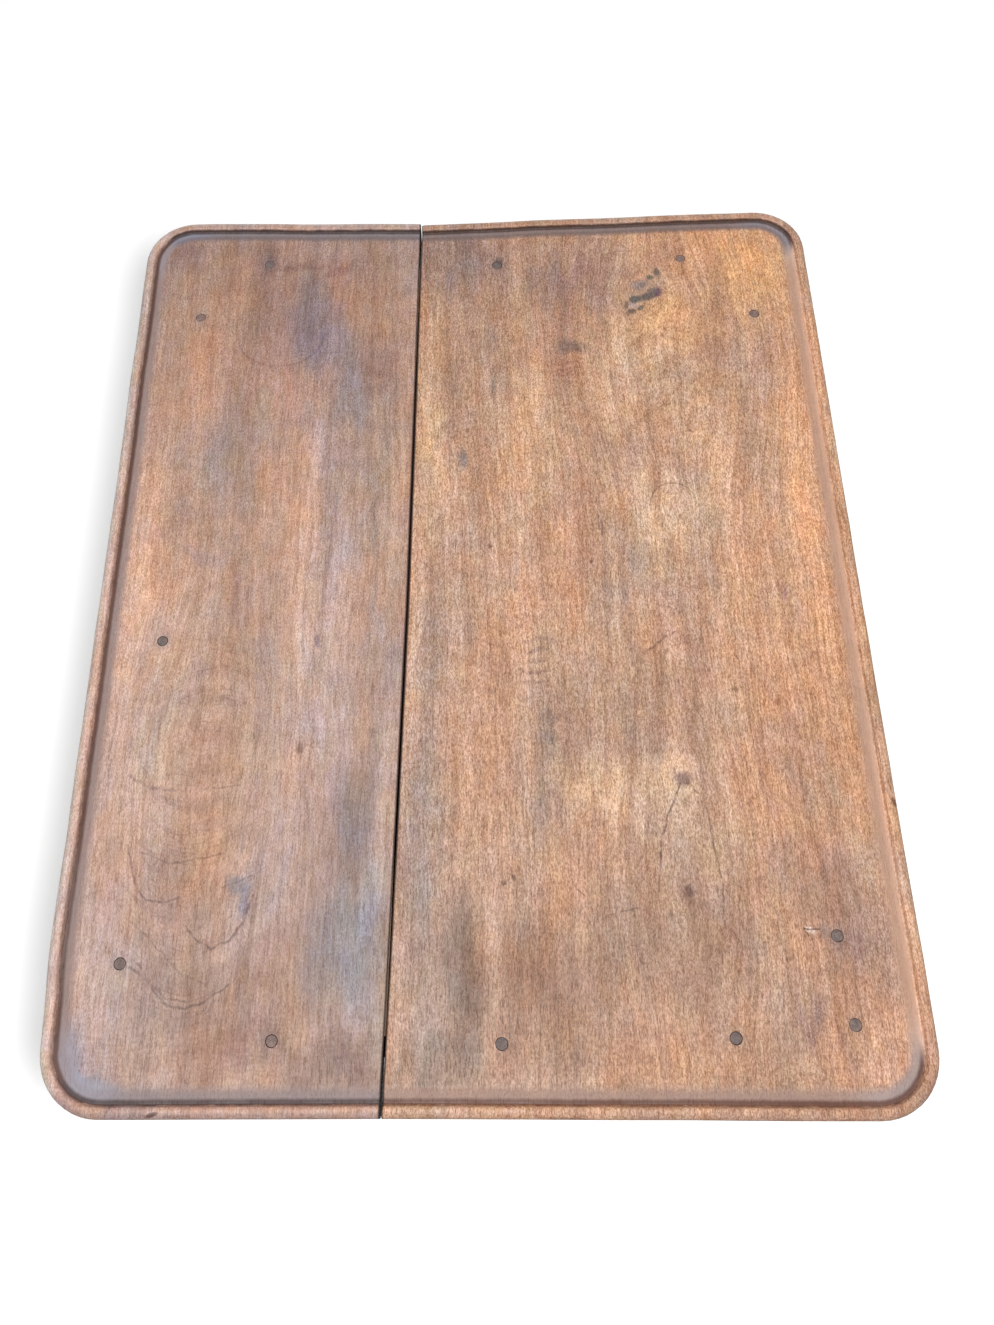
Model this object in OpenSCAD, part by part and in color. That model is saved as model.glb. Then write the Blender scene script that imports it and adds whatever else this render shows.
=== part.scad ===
// Games table with a dished top of two boards, pegged down onto a scalloped frame
// that stands on four cabriole legs and holds one drawer.
// X runs across the boards, Y along their grain and Z up. The origin is on the floor,
// under the middle of the top. The drawer opens towards +X.

/* [Top] */
// Width of the top, across its two boards
top_w = 700; // [690:2:730]
// Length of the top, along the grain
top_l = 886; // [876:2:926]
// Thickness of the top at its rim
top_t = 24; // [22:0.5:28]
// Radius of the top's four corners
corner_r = 51; // [45:1:58]
// Width of the raised rim
rim_w = 10; // [8:0.5:13]
// Depth of the playing field below the rim
field_drop = 2.5; // [1.5:0.5:3]
// Depth of the gutter's floor below the rim
gutter_drop = 4.5; // [4:0.5:6]
// Width of the gutter between the rim and the playing field
gutter_w = 12; // [9:0.5:15]
// Radius of the rim's upper outer edge
rim_round = 4; // [3:0.5:5]
// Radius of the top's lower outer edge
under_round = 9; // [6:0.5:12]

/* [Joint between the boards] */
// Distance of the joint from the middle of the top, to the left
joint_offset = 64; // [56:0.5:86]
// Angle by which the joint runs off the grain, in degrees
joint_skew = 1.52; // [0:0.01:2]
// Gap that shrinkage has opened between the boards
joint_gap = 1.6; // [0.6:0.2:3]
// Width of the loose tongue in the joint
tongue_w = 28; // [22:1:34]
// Thickness of the loose tongue
tongue_t = 8; // [6:0.5:9]
// Height of the tongue's underside above the underside of the top
tongue_up = 6; // [5:0.5:6.5]
// Distance from each end of the top to the stopped tongue groove
tongue_stop = 60; // [50:5:80]

/* [Frame] */
// Height of the rim's top above the floor
table_h = 725; // [700:5:760]
// Distance from the top's left edge to the middle of the left rail
inset_left = 64; // [58:0.5:68]
// Distance from the top's right edge to the middle of the right rail
inset_right = 62.5; // [58:0.5:70]
// Distance from the top's near edge to the middle of the near rail
inset_near = 56.5; // [54:0.5:62]
// Distance from the top's far edge to the middle of the far rail
inset_far = 62; // [54:0.5:66]
// Thickness of the four rails
rail_t = 24; // [22:0.5:26]
// Height of the rails beside the legs
rail_h = 130; // [124:1:140]
// Rise of the arches in the rails' lower edges
arch_rise = 30; // [18:1:32]
// Fall of the pendant in the middle of each rail, below the arches
pendant_fall = 22; // [12:1:26]

/* [Joinery] */
// Thickness of the rails' tenons
tenon_t = 10; // [8:0.5:12]
// Length of the rails' tenons
tenon_l = 22; // [18:1:26]
// Height of the rails' tenons
tenon_h = 88; // [70:1:92]
// Distance from the top of a rail to the top of its tenon
tenon_down = 14; // [10:1:18]
// Diameter of the pegs through the tenons
frame_peg_d = 7; // [5:0.5:9]
// Length of the pegs through the tenons
frame_peg_l = 34; // [28:1:36]
// Distance of these pegs from the ends of the tenons' height
frame_peg_margin = 22; // [16:1:26]
// Diameter of the pegs that hold the top down
top_peg_d = 10; // [8:0.5:12]
// Depth to which these pegs go into the frame
top_peg_depth = 40; // [30:1:50]

/* [Legs] */
// Width of the square posts
post_w = 54; // [52:0.5:58]
// Distance by which the posts stand proud of the rails
post_proud = 3; // [2:0.5:5]
// Width of the leg across the knee
knee_w = 57; // [54:0.5:62]
// Distance by which the knee swells outwards each way
knee_out = 9; // [6:0.5:12]
// Height of the middle of the knee above the floor
knee_z = 525; // [515:1:540]
// Width of the leg at the ankle
ankle_w = 25; // [22:0.5:32]
// Distance by which the ankle draws inwards each way
ankle_in = 8; // [4:0.5:12]
// Height of the ankle above the floor
ankle_z = 150; // [120:1:200]
// Width of the hoof at the floor
hoof_w = 39; // [32:0.5:44]
// Distance by which the hoof reaches outwards each way
hoof_out = 11; // [6:0.5:14]
// Height of the hoof
hoof_h = 46; // [36:1:60]

/* [Drawer] */
// Width of the drawer front
drawer_w = 427; // [380:1:440]
// Height of the drawer front
drawer_h = 72; // [64:1:76]
// Depth of the drawer from the front's face to the back's face
drawer_depth = 420; // [340:5:440]
// Thickness of the drawer front
front_t = 22; // [20:0.5:24]
// Thickness of the drawer's sides and back
side_t = 12; // [10:0.5:14]
// Distance by which the sides stop short of the front's height
side_down = 2; // [0:0.5:6]
// Distance by which the back stops short of the sides' height
back_down = 6; // [2:1:12]
// Thickness of the drawer's bottom
bottom_t = 8; // [6:0.5:9]
// Height of the drawer's bottom above the sides' lower edge
bottom_up = 6; // [5:0.5:7]
// Depth of the grooves that hold the bottom
groove_d = 5; // [4:0.5:6]
// Length of the dovetails that enter the drawer front
tail_l = 14; // [12:0.5:16]
// Width of a dovetail at its wide end
tail_w = 15; // [13:0.5:16]
// Taper of a dovetail on each side
tail_taper = 2; // [1:0.5:3]
// Shoulder above and below a row of dovetails
tail_margin = 3; // [2:0.5:5]
// Diameter of the knob
knob_d = 30; // [26:1:34]
// Distance by which the knob stands out from the drawer front
knob_out = 26; // [24:0.5:30]
// Thickness of the knob's head
knob_head_t = 12; // [12:0.5:14]
// Radius of the roll around the knob's head
knob_round = 6; // [5:0.5:6]
// Diameter of the knob's neck
knob_neck_d = 16; // [15:0.5:18]
// Diameter of the collar at the foot of the knob's neck
knob_collar_d = 22; // [20:0.5:24]
// Thickness of that collar
knob_collar_t = 3; // [2:0.5:5]
// Diameter of the knob's shank
shank_d = 12; // [10:0.5:14]
// Diameter of the nails in the drawer's bottom
nail_d = 2.6; // [2:0.1:3.2]
// Diameter of these nails' heads
nail_head_d = 6; // [5:0.5:8]
// Thickness of these nails' heads
nail_head_t = 1.2; // [0.8:0.1:2]
// Length of these nails
nail_l = 26; // [20:1:34]

/* [Runners] */
// Width of a runner under the drawer's side
runner_w = 26; // [20:1:32]
// Thickness of a runner
runner_t = 18; // [16:1:20]
// Width of the guide beside the drawer
guide_w = 14; // [12:1:18]
// Height of the guide above the runner
guide_h = 20; // [14:1:26]
// Length of the runners' stub tenons
stub_l = 10; // [8:1:12]
// Thickness of the runners' stub tenons
stub_t = 9; // [7:0.5:10]
// Shoulder on each side of a stub tenon
stub_shoulder = 5; // [3:1:8]
// Length of the stop blocks behind the drawer
stop_l = 20; // [15:1:30]
// Width of the stop blocks
stop_w = 14; // [12:1:16]
// Height of the stop blocks
stop_h = 16; // [12:1:30]

/* [Clearances] */
// Clearance around a glued tenon or dovetail
glue_gap = 0.1; // [0:0.05:0.2]
// Clearance around a peg, nail or shank in its hole
peg_gap = 0.05; // [0.02:0.01:0.1]
// Clearance around the loose tongue in its grooves
tongue_gap = 0.3; // [0.2:0.1:0.5]
// Height of the drawer's sides above the runners they slide on
slide_gap = 0.3; // [0.2:0.1:0.5]
// Clearance between the drawer and each side of its opening
drawer_gap = 1.5; // [1:0.1:3]
// Clearance between the drawer front and the top
front_gap = 1.7; // [1:0.1:3]
// Gap between the closed drawer and its stop blocks
stop_gap = 0.5; // [0.3:0.1:1]

/* [Hidden] */
$fn = 96;
// Overshoot of a cut past the face that it opens
cut = 1;

// Underside of the top, and the field that the pegs end flush with
under_z = table_h - top_t;
field_z = table_h - field_drop;

// Middle lines of the four rails
left_x = -top_w / 2 + inset_left;
right_x = top_w / 2 - inset_right;
near_y = -top_l / 2 + inset_near;
far_y = top_l / 2 - inset_far;
mid_x = (left_x + right_x) / 2;
mid_y = (near_y + far_y) / 2;

// From a rail's middle line out to the posts' outer faces, and in to their middles
post_out = rail_t / 2 + post_proud;
post_in = post_w / 2 - post_out;
post_span_x = right_x - left_x - 2 * post_in;
post_span_y = far_y - near_y - 2 * post_in;
rail_x_len = post_span_x - post_w;
rail_y_len = post_span_y - post_w;
rail_z = under_z - rail_h;

// Heights of the tenons, and of the two pegs through each
tenon_z = under_z - tenon_down - tenon_h;
frame_peg_zs = [tenon_z + frame_peg_margin, tenon_z + tenon_h - frame_peg_margin];

// The drawer's opening, the runners' top and the drawer's own faces
opening_w = drawer_w + 2 * drawer_gap;
runner_z = under_z - front_gap - drawer_h - slide_gap;
drawer_z = runner_z + slide_gap;
face_x = right_x + rail_t / 2;
inner_x = face_x - front_t;
back_x = face_x - drawer_depth;
bottom_z = drawer_z + bottom_up;
back_z = bottom_z + bottom_t;
side_h = drawer_h - side_down;
back_h = drawer_z + side_h - back_down - back_z;
runner_x0 = left_x + rail_t / 2;
runner_x1 = right_x - rail_t / 2;

// The edge of the top reaches inwards to just inside the gutter, where half of its margin
// overlaps the slab
field_margin = 4;
edge_r = corner_r - rim_w - gutter_w - field_margin;
slab_r = edge_r + field_margin / 2;
gutter_rise = gutter_drop - field_drop;
gutter_r = (gutter_w * gutter_w + gutter_rise * gutter_rise) / (2 * gutter_rise);

// Pegs through the top: each stands near a rail's middle line, with its own small stray
peg_places = [
    [-215.5, far_y + 4], [26.5, far_y - 3.5], [219.5, far_y],
    [left_x + 2.5, 316.5], [left_x + 1, -48], [left_x - 4, -328.5],
    [-163.5, near_y], [16, near_y - 2], [196.5, near_y + 2],
    [right_x + 1, 307], [right_x - 3, -308.5],
    [right_x + 1.5, near_y + 11.5]
];

// Middles of count dovetails that fill a height, measured from the drawer sides' lower edge
function tail_places(count, from, height) =
    [for (i = [0:count - 1]) from + tail_margin + tail_w / 2
        + i * (height - 2 * tail_margin - tail_w) / (count - 1)];
front_tails = tail_places(3, 0, side_h);
back_tails = tail_places(2, back_z - drawer_z, back_h);
// Places of the nails across the drawer's bottom
nail_ys = [-130, 0, 130];

// Colours of the parts
golden_wood = [0.80, 0.63, 0.52];
brown_wood = [0.76, 0.63, 0.56];
frame_wood = [0.68, 0.52, 0.42];
plain_wood = [0.82, 0.72, 0.60];
peg_wood = [0.40, 0.34, 0.32];
old_iron = [0.25, 0.23, 0.22];

// A point on the smooth curve through the keys, at t spans from the first
function along(keys, t) =
    let (i = min(floor(t), len(keys) - 2), f = t - i,
         a = keys[max(i - 1, 0)], b = keys[i], c = keys[i + 1], d = keys[min(i + 2, len(keys) - 1)])
    0.5 * (2 * b + (c - a) * f + (2 * a - 5 * b + 4 * c - d) * f * f + (3 * b - a - 3 * c + d) * f * f * f);

// A step from 0 to 1 with level ends
function ease(t) = let (s = min(max(t, 0), 1)) s * s * (3 - 2 * s);

// Shares of a rail's half length: the sweep from a post up to the arch, where the pendant
// begins, the sweep down to it, and its small tip
arch_sweep = 0.34;
pendant_from = 0.42;
pendant_sweep = 0.34;
tip_sweep = 0.07;
tip_fall = 4;

// Rise of a rail's lower edge above its ends, at u from 0 in its middle to 1 at a post
function scallop(u) =
    arch_rise * ease((1 - u) / arch_sweep) - pendant_fall * ease((pendant_from - u) / pendant_sweep)
    - tip_fall * ease((tip_sweep - u) / tip_sweep);

// Section of the top's edge: x runs out from the corner's middle, y up from the underside
module edge_section() {
    difference() {
        translate([edge_r, 0]) square([corner_r - edge_r, top_t]);
        translate([corner_r - rim_round, top_t - rim_round])
            difference() { square(rim_round + cut); circle(rim_round); }
        translate([corner_r - under_round, under_round]) rotate(-90)
            difference() { square(under_round + cut); circle(under_round); }
        intersection() {
            translate([corner_r - rim_w, top_t - gutter_drop + gutter_r]) circle(gutter_r);
            translate([corner_r - rim_w - gutter_w, 0]) square([gutter_w, top_t + cut]);
        }
        translate([edge_r - cut, top_t - field_drop])
            square([corner_r - rim_w - edge_r + cut, field_drop + cut]);
    }
}

// The whole dished top before it is parted into boards
module dished_top() {
    inset = corner_r - slab_r;
    translate([0, 0, under_z]) {
        linear_extrude(top_t - field_drop) {
            square([top_w - 2 * corner_r, top_l - 2 * inset], center = true);
            square([top_w - 2 * inset, top_l - 2 * corner_r], center = true);
            for (x = [-1, 1], y = [-1, 1])
                translate([x * (top_w / 2 - corner_r), y * (top_l / 2 - corner_r)]) circle(slab_r);
        }
        for (k = [0:3]) {
            a = (k % 2 == 0 ? top_w : top_l) / 2 - corner_r;
            b = (k % 2 == 0 ? top_l : top_w) / 2 - corner_r;
            rotate([0, 0, 90 * k]) translate([a, b, 0]) {
                rotate([90, 0, 0]) linear_extrude(2 * b) edge_section();
                rotate_extrude(angle = 90) edge_section();
            }
        }
    }
}

// Children placed and turned along the joint between the boards
module at_joint() {
    translate([-joint_offset, 0, under_z]) rotate([0, 0, -joint_skew]) children();
}

// The loose tongue, grown by a clearance on every side
module tongue(grow) {
    at_joint() translate([0, 0, tongue_up + tongue_t / 2])
        cube([tongue_w + 2 * grow, top_l - 2 * tongue_stop + 2 * grow, tongue_t + 2 * grow], center = true);
}

// The pegs that hold the top down, grown by a clearance around and reaching past each end
module top_peg_shapes(grow, past) {
    for (p = peg_places)
        translate([p[0], p[1], under_z - top_peg_depth])
            cylinder(d = top_peg_d + 2 * grow, h = field_z - under_z + top_peg_depth + past);
}

// One board of the top: side is -1 for the left board and 1 for the right
module top_board(side) {
    difference() {
        intersection() {
            dished_top();
            at_joint() translate([side * (joint_gap + top_w) / 2, 0, top_t / 2])
                cube([top_w, 1.2 * top_l, 2 * top_t], center = true);
        }
        tongue(tongue_gap);
        top_peg_shapes(peg_gap, top_t);
    }
}

module top_board_left() { color(brown_wood) top_board(-1); }

module top_board_right() { color(golden_wood) top_board(1); }

module top_tongue() { color(frame_wood) tongue(0); }

module top_pegs() { color(peg_wood) top_peg_shapes(0, 0); }

// Children placed at a post: k counts from the far right post, turning left
module at_post(k) {
    x = (k == 0 || k == 3 ? 1 : -1) * post_span_x / 2;
    y = (k == 0 || k == 1 ? 1 : -1) * post_span_y / 2;
    translate([mid_x + x, mid_y + y, 0]) rotate([0, 0, 90 * k]) children();
}

// The pegs through both tenons of every post
module frame_peg_shapes(grow, past) {
    back = post_w / 2 - tenon_l / 2;
    for (k = [0:3], z = frame_peg_zs)
        at_post(k) {
            translate([-back, post_w / 2 + past, z]) rotate([90, 0, 0])
                cylinder(d = frame_peg_d + 2 * grow, h = frame_peg_l + past);
            translate([post_w / 2 + past, -back, z]) rotate([0, -90, 0])
                cylinder(d = frame_peg_d + 2 * grow, h = frame_peg_l + past);
        }
}

module frame_pegs() { color(peg_wood) frame_peg_shapes(0, 0); }

// Rings of the leg from the floor up: height, shift outwards, width, squareness
leg_keys = [
    [0, hoof_out, hoof_w, 3.4],
    [0.3 * hoof_h, hoof_out - 1, hoof_w - 2, 3.2],
    [0.9 * hoof_h, 0.3 * hoof_out, ankle_w + 5, 2.8],
    [0.9 * hoof_h + 0.4 * (ankle_z - hoof_h), -0.7 * ankle_in, ankle_w + 0.5, 2.6],
    [ankle_z, -ankle_in, ankle_w, 2.6],
    [ankle_z + 0.25 * (knee_z - ankle_z), -0.9 * ankle_in, ankle_w + 4, 2.7],
    [ankle_z + 0.5 * (knee_z - ankle_z), -0.35 * ankle_in, ankle_w + 10, 2.9],
    [ankle_z + 0.75 * (knee_z - ankle_z), 0.5 * knee_out, knee_w - 11, 3.4],
    [knee_z, knee_out, knee_w, 4.4],
    [knee_z + 0.6 * (rail_z - knee_z), 0.5 * knee_out, (knee_w + post_w) / 2, 6],
    [rail_z + 8, 0, post_w - 1, 9]
];
ring_points = 24;
rings_per_span = 3;

// One point of a leg's ring, on a rounded square whose corners sharpen with squareness n
function ring_point(ring, turn) =
    let (n = 2 / ring[3], c = cos(turn), s = sin(turn))
    [ring[1] + ring[2] / 2 * sign(c) * pow(abs(c), n),
     ring[1] + ring[2] / 2 * sign(s) * pow(abs(s), n),
     ring[0]];

// The carved leg below its post, as one closed skin
module cabriole() {
    count = (len(leg_keys) - 1) * rings_per_span + 1;
    rings = [for (i = [0:count - 1]) along(leg_keys, i / rings_per_span)];
    points = [for (r = rings, j = [0:ring_points - 1]) ring_point(r, 360 * (j + 0.5) / ring_points)];
    sides = [for (i = [0:count - 2], j = [0:ring_points - 1])
        let (a = i * ring_points + j, b = i * ring_points + (j + 1) % ring_points)
        each [[a, a + ring_points, b], [b, a + ring_points, b + ring_points]]];
    sole = [for (j = [0:ring_points - 1]) j];
    crown = [for (j = [ring_points - 1:-1:0]) (count - 1) * ring_points + j];
    polyhedron(points, concat([sole], sides, [crown]));
}

// A whole leg: its post takes one tenon from each of two rails
module leg(k) {
    mortise_t = tenon_t + 2 * glue_gap;
    mortise_l = tenon_l + glue_gap;
    difference() {
        at_post(k) {
            cabriole();
            translate([-post_w / 2, -post_w / 2, rail_z]) cube([post_w, post_w, rail_h]);
        }
        at_post(k) translate([0, 0, tenon_z - glue_gap]) {
            translate([-post_w / 2 - cut, post_in - mortise_t / 2, 0])
                cube([mortise_l + cut, mortise_t, tenon_h + 2 * glue_gap]);
            translate([post_in - mortise_t / 2, -post_w / 2 - cut, 0])
                cube([mortise_t, mortise_l + cut, tenon_h + 2 * glue_gap]);
        }
        frame_peg_shapes(peg_gap, cut);
        top_peg_shapes(peg_gap, cut);
    }
}

module leg_far_right() { color(frame_wood) leg(0); }

module leg_far_left() { color(frame_wood) leg(1); }

module leg_near_left() { color(frame_wood) leg(2); }

module leg_near_right() { color(frame_wood) leg(3); }

// A rail's outline: x runs along the rail from its middle, and y is 0 at its top
module rail_outline(length) {
    steps = 64;
    edge = [for (i = [0:steps]) let (u = 1 - 2 * i / steps) [u * length / 2, scallop(abs(u)) - rail_h]];
    polygon(concat([[-length / 2, 0], [length / 2, 0]], edge));
}

// A rail along X, standing on its middle line, with a tenon at each end
module rail_body(length) {
    translate([0, 0, under_z]) rotate([90, 0, 0])
        translate([0, 0, -rail_t / 2]) linear_extrude(rail_t) rail_outline(length);
    translate([-length / 2 - tenon_l, -tenon_t / 2, tenon_z]) cube([length + 2 * tenon_l, tenon_t, tenon_h]);
}

module rail_near() {
    color(frame_wood) difference() {
        translate([mid_x, near_y, 0]) rail_body(rail_x_len);
        frame_peg_shapes(peg_gap, cut);
        top_peg_shapes(peg_gap, cut);
    }
}

module rail_far() {
    color(frame_wood) difference() {
        translate([mid_x, far_y, 0]) rail_body(rail_x_len);
        frame_peg_shapes(peg_gap, cut);
        top_peg_shapes(peg_gap, cut);
    }
}

module rail_left() {
    color(frame_wood) difference() {
        translate([left_x, mid_y, 0]) rotate([0, 0, 90]) rail_body(rail_y_len);
        frame_peg_shapes(peg_gap, cut);
        top_peg_shapes(peg_gap, cut);
        for (side = [-1, 1]) stub_tenon(side, runner_x0 - stub_l, glue_gap);
    }
}

// The right rail is cut open from its top for the drawer
module rail_right() {
    color(frame_wood) difference() {
        translate([right_x, mid_y, 0]) rotate([0, 0, 90]) rail_body(rail_y_len);
        translate([right_x - rail_t, mid_y - opening_w / 2, runner_z]) cube([2 * rail_t, opening_w, rail_h]);
        frame_peg_shapes(peg_gap, cut);
        top_peg_shapes(peg_gap, cut);
        for (side = [-1, 1]) stub_tenon(side, runner_x1, glue_gap);
    }
}

// Children placed at one side of the drawer's opening and mirrored there: y runs outwards
module at_side(side) {
    translate([0, mid_y, 0]) mirror([0, side < 0 ? 1 : 0, 0]) translate([0, opening_w / 2, 0]) children();
}

// A runner's stub tenon that starts at x, grown by a clearance on every side
module stub_tenon(side, x, grow) {
    at_side(side)
        translate([x - grow, stub_shoulder - runner_w - grow, runner_z - (runner_t + stub_t) / 2 - grow])
            cube([stub_l + 2 * grow, runner_w + guide_w - 2 * stub_shoulder + 2 * grow, stub_t + 2 * grow]);
}

// A runner with its guide, between the left and right rails
module runner(side) {
    at_side(side) {
        translate([runner_x0, -runner_w, runner_z - runner_t])
            cube([runner_x1 - runner_x0, runner_w + guide_w, runner_t]);
        translate([runner_x0, 0, runner_z - runner_t])
            cube([runner_x1 - runner_x0, guide_w, runner_t + guide_h]);
    }
    stub_tenon(side, runner_x0 - stub_l, 0);
    stub_tenon(side, runner_x1, 0);
}

module runner_near() { color(plain_wood) runner(-1); }

module runner_far() { color(plain_wood) runner(1); }

// A block on each runner stops the drawer when its front is flush
module drawer_stops() {
    color(plain_wood)
        for (side = [-1, 1]) at_side(side)
            translate([back_x - stop_gap - stop_l, -stop_w, runner_z])
                cube([stop_l, stop_w, stop_h]);
}

// Outline of a row of dovetails: x runs out to their wide ends, y up
module tail_outline(places, length, grow) {
    for (z = places)
        polygon([[-cut, -tail_w / 2 + tail_taper - grow], [0, -tail_w / 2 + tail_taper - grow],
                 [length + grow, -tail_w / 2 - grow], [length + grow, tail_w / 2 + grow],
                 [0, tail_w / 2 - tail_taper + grow], [-cut, tail_w / 2 - tail_taper + grow]]
                + [for (i = [0:5]) [0, z]]);
}

// A row of dovetails at one side of the drawer, across the thickness of that side
module tails(side, x, places, length, turn, grow) {
    at_side(side)
        translate([x, -drawer_gap, drawer_z]) rotate([90, 0, 0]) mirror([turn, 0, 0])
            linear_extrude(side_t + grow) tail_outline(places, length, grow);
}

module drawer_front() {
    color(frame_wood) difference() {
        translate([inner_x, mid_y - drawer_w / 2, drawer_z]) cube([front_t, drawer_w, drawer_h]);
        for (side = [-1, 1]) tails(side, inner_x, front_tails, tail_l, 0, glue_gap);
        bottom_panel(glue_gap);
        knob_shank(peg_gap, cut);
    }
}

// A side of the drawer, dovetailed into the front and through the back
module drawer_side(side) {
    difference() {
        union() {
            at_side(side) translate([back_x, -drawer_gap - side_t, drawer_z])
                cube([inner_x - back_x, side_t, side_h]);
            tails(side, inner_x, front_tails, tail_l, 0, 0);
        }
        bottom_panel(glue_gap);
        difference() {
            at_side(side) translate([back_x - cut, -drawer_gap - side_t - cut, back_z])
                cube([side_t + cut, side_t + 2 * cut, side_h]);
            tails(side, back_x + side_t, back_tails, side_t + cut, 1, 0);
        }
    }
}

module drawer_side_near() { color(plain_wood) drawer_side(-1); }

module drawer_side_far() { color(plain_wood) drawer_side(1); }

module drawer_back() {
    color(plain_wood) difference() {
        translate([back_x, mid_y - drawer_w / 2, back_z]) cube([side_t, drawer_w, back_h]);
        for (side = [-1, 1]) tails(side, back_x + side_t, back_tails, side_t + cut, 1, glue_gap);
        nail_shapes(peg_gap);
    }
}

// The drawer's bottom, grown by a clearance at its edges and faces
module bottom_panel(grow) {
    half = drawer_w / 2 - side_t + groove_d;
    translate([back_x - grow, mid_y - half - grow, bottom_z - grow])
        cube([inner_x + groove_d - back_x + 2 * grow, 2 * (half + grow), bottom_t + 2 * grow]);
}

module drawer_bottom() {
    color(plain_wood) difference() {
        bottom_panel(0);
        nail_shapes(peg_gap);
    }
}

// The nails that hold the bottom up to the back
module nail_shapes(grow) {
    for (y = nail_ys) translate([back_x + side_t / 2, mid_y + y, bottom_z - nail_head_t]) {
        cylinder(d = nail_d + 2 * grow, h = nail_head_t + nail_l);
        cylinder(d = nail_head_d, h = nail_head_t);
    }
}

module drawer_nails() { color(old_iron) nail_shapes(0); }

// The knob's shank through the drawer front, grown by a clearance and reaching past its inner end
module knob_shank(grow, past) {
    translate([inner_x - past, mid_y, drawer_z + drawer_h / 2]) rotate([0, 90, 0])
        cylinder(d = shank_d + 2 * grow, h = front_t + past);
}

// The knob is turned: its section's y runs out from the drawer front's face
module drawer_knob() {
    core = knob_d / 2 - knob_round;
    color(frame_wood) {
        knob_shank(0, 0);
        translate([face_x, mid_y, drawer_z + drawer_h / 2]) rotate([0, 90, 0]) rotate_extrude() {
            square([knob_neck_d / 2, knob_out - knob_round]);
            square([knob_collar_d / 2, knob_collar_t]);
            translate([0, knob_out - knob_head_t]) square([core, knob_head_t]);
            translate([core, knob_out - knob_head_t / 2]) circle(knob_round);
        }
    }
}

top_board_left();
top_board_right();
top_tongue();
top_pegs();
leg_far_right();
leg_far_left();
leg_near_left();
leg_near_right();
rail_left();
rail_right();
rail_near();
rail_far();
frame_pegs();
runner_near();
runner_far();
drawer_stops();
drawer_front();
drawer_side_near();
drawer_side_far();
drawer_back();
drawer_bottom();
drawer_nails();
drawer_knob();
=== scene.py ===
import bpy
import bmesh
import math
import numpy as np
from mathutils import Matrix, Vector, kdtree, noise


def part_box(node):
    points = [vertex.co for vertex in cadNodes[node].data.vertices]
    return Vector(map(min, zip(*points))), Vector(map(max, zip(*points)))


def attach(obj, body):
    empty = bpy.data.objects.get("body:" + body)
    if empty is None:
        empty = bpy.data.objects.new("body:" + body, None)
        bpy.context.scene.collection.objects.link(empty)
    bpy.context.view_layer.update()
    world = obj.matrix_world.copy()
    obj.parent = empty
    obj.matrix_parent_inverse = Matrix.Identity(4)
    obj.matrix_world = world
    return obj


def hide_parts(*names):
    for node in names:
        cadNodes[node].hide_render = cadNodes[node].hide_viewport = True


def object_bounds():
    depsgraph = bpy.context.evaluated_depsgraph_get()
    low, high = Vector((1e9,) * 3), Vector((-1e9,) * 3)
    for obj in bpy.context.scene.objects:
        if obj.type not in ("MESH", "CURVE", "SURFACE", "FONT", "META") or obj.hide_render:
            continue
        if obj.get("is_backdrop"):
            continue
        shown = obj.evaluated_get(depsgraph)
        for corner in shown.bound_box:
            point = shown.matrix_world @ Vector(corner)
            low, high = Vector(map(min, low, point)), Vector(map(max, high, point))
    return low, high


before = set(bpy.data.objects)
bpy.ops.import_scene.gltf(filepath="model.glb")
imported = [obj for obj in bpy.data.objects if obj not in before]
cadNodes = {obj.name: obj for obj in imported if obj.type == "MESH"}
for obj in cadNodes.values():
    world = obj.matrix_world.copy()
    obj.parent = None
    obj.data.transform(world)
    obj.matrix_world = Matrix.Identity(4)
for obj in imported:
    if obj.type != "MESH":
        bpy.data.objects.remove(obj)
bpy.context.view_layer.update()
mm = 0.001


# small helpers for meshes
def addObject(name, data):
    obj = bpy.data.objects.new(name, data)
    bpy.context.scene.collection.objects.link(obj)
    return obj


def meshObject(name, verts, faces):
    data = bpy.data.meshes.new(name)
    data.from_pydata([tuple(float(c) for c in v) for v in verts], [], [tuple(int(i) for i in f) for f in faces])
    data.validate()
    data.shade_smooth()
    return addObject(name, data)


def shadeFrom(obj, angle):  # smooth, but for arrises sharper than an angle
    obj.data.shade_smooth()
    obj.data.set_sharp_from_angle(angle=math.radians(angle))


def onPoints(obj, name, values, kind="FLOAT", field="value"):  # a number or vector kept on each point
    obj.data.attributes.new(name, kind, "POINT").data.foreach_set(field, np.ravel(values).astype(float))


def settle(obj):  # live modifiers become plain mesh
    bpy.context.view_layer.update()
    data = bpy.data.meshes.new_from_object(obj.evaluated_get(bpy.context.evaluated_depsgraph_get()))
    obj.modifiers.clear()
    old, name = obj.data, obj.data.name
    obj.data = data
    bpy.data.meshes.remove(old)
    data.name = name
    return obj


def gridFaces(grid):  # four-sided faces between the rows and columns of a grid of points
    return [(grid[i, j], grid[i, j + 1], grid[i + 1, j + 1], grid[i + 1, j])
            for i in range(grid.shape[0] - 1) for j in range(grid.shape[1] - 1)]


def tubeFaces(rings, sides):  # a tube of rings, closed at both ends
    grid = np.arange(rings * sides).reshape(rings, sides)
    return gridFaces(np.hstack([grid, grid[:, :1]])) + [grid[0, ::-1], grid[-1]]


def boxMesh(bm, low, high):
    for v in bmesh.ops.create_cube(bm, size=1)["verts"]:
        v.co = Vector([(low[i] + high[i]) / 2 + v.co[i] * (high[i] - low[i]) for i in range(3)])


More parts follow.
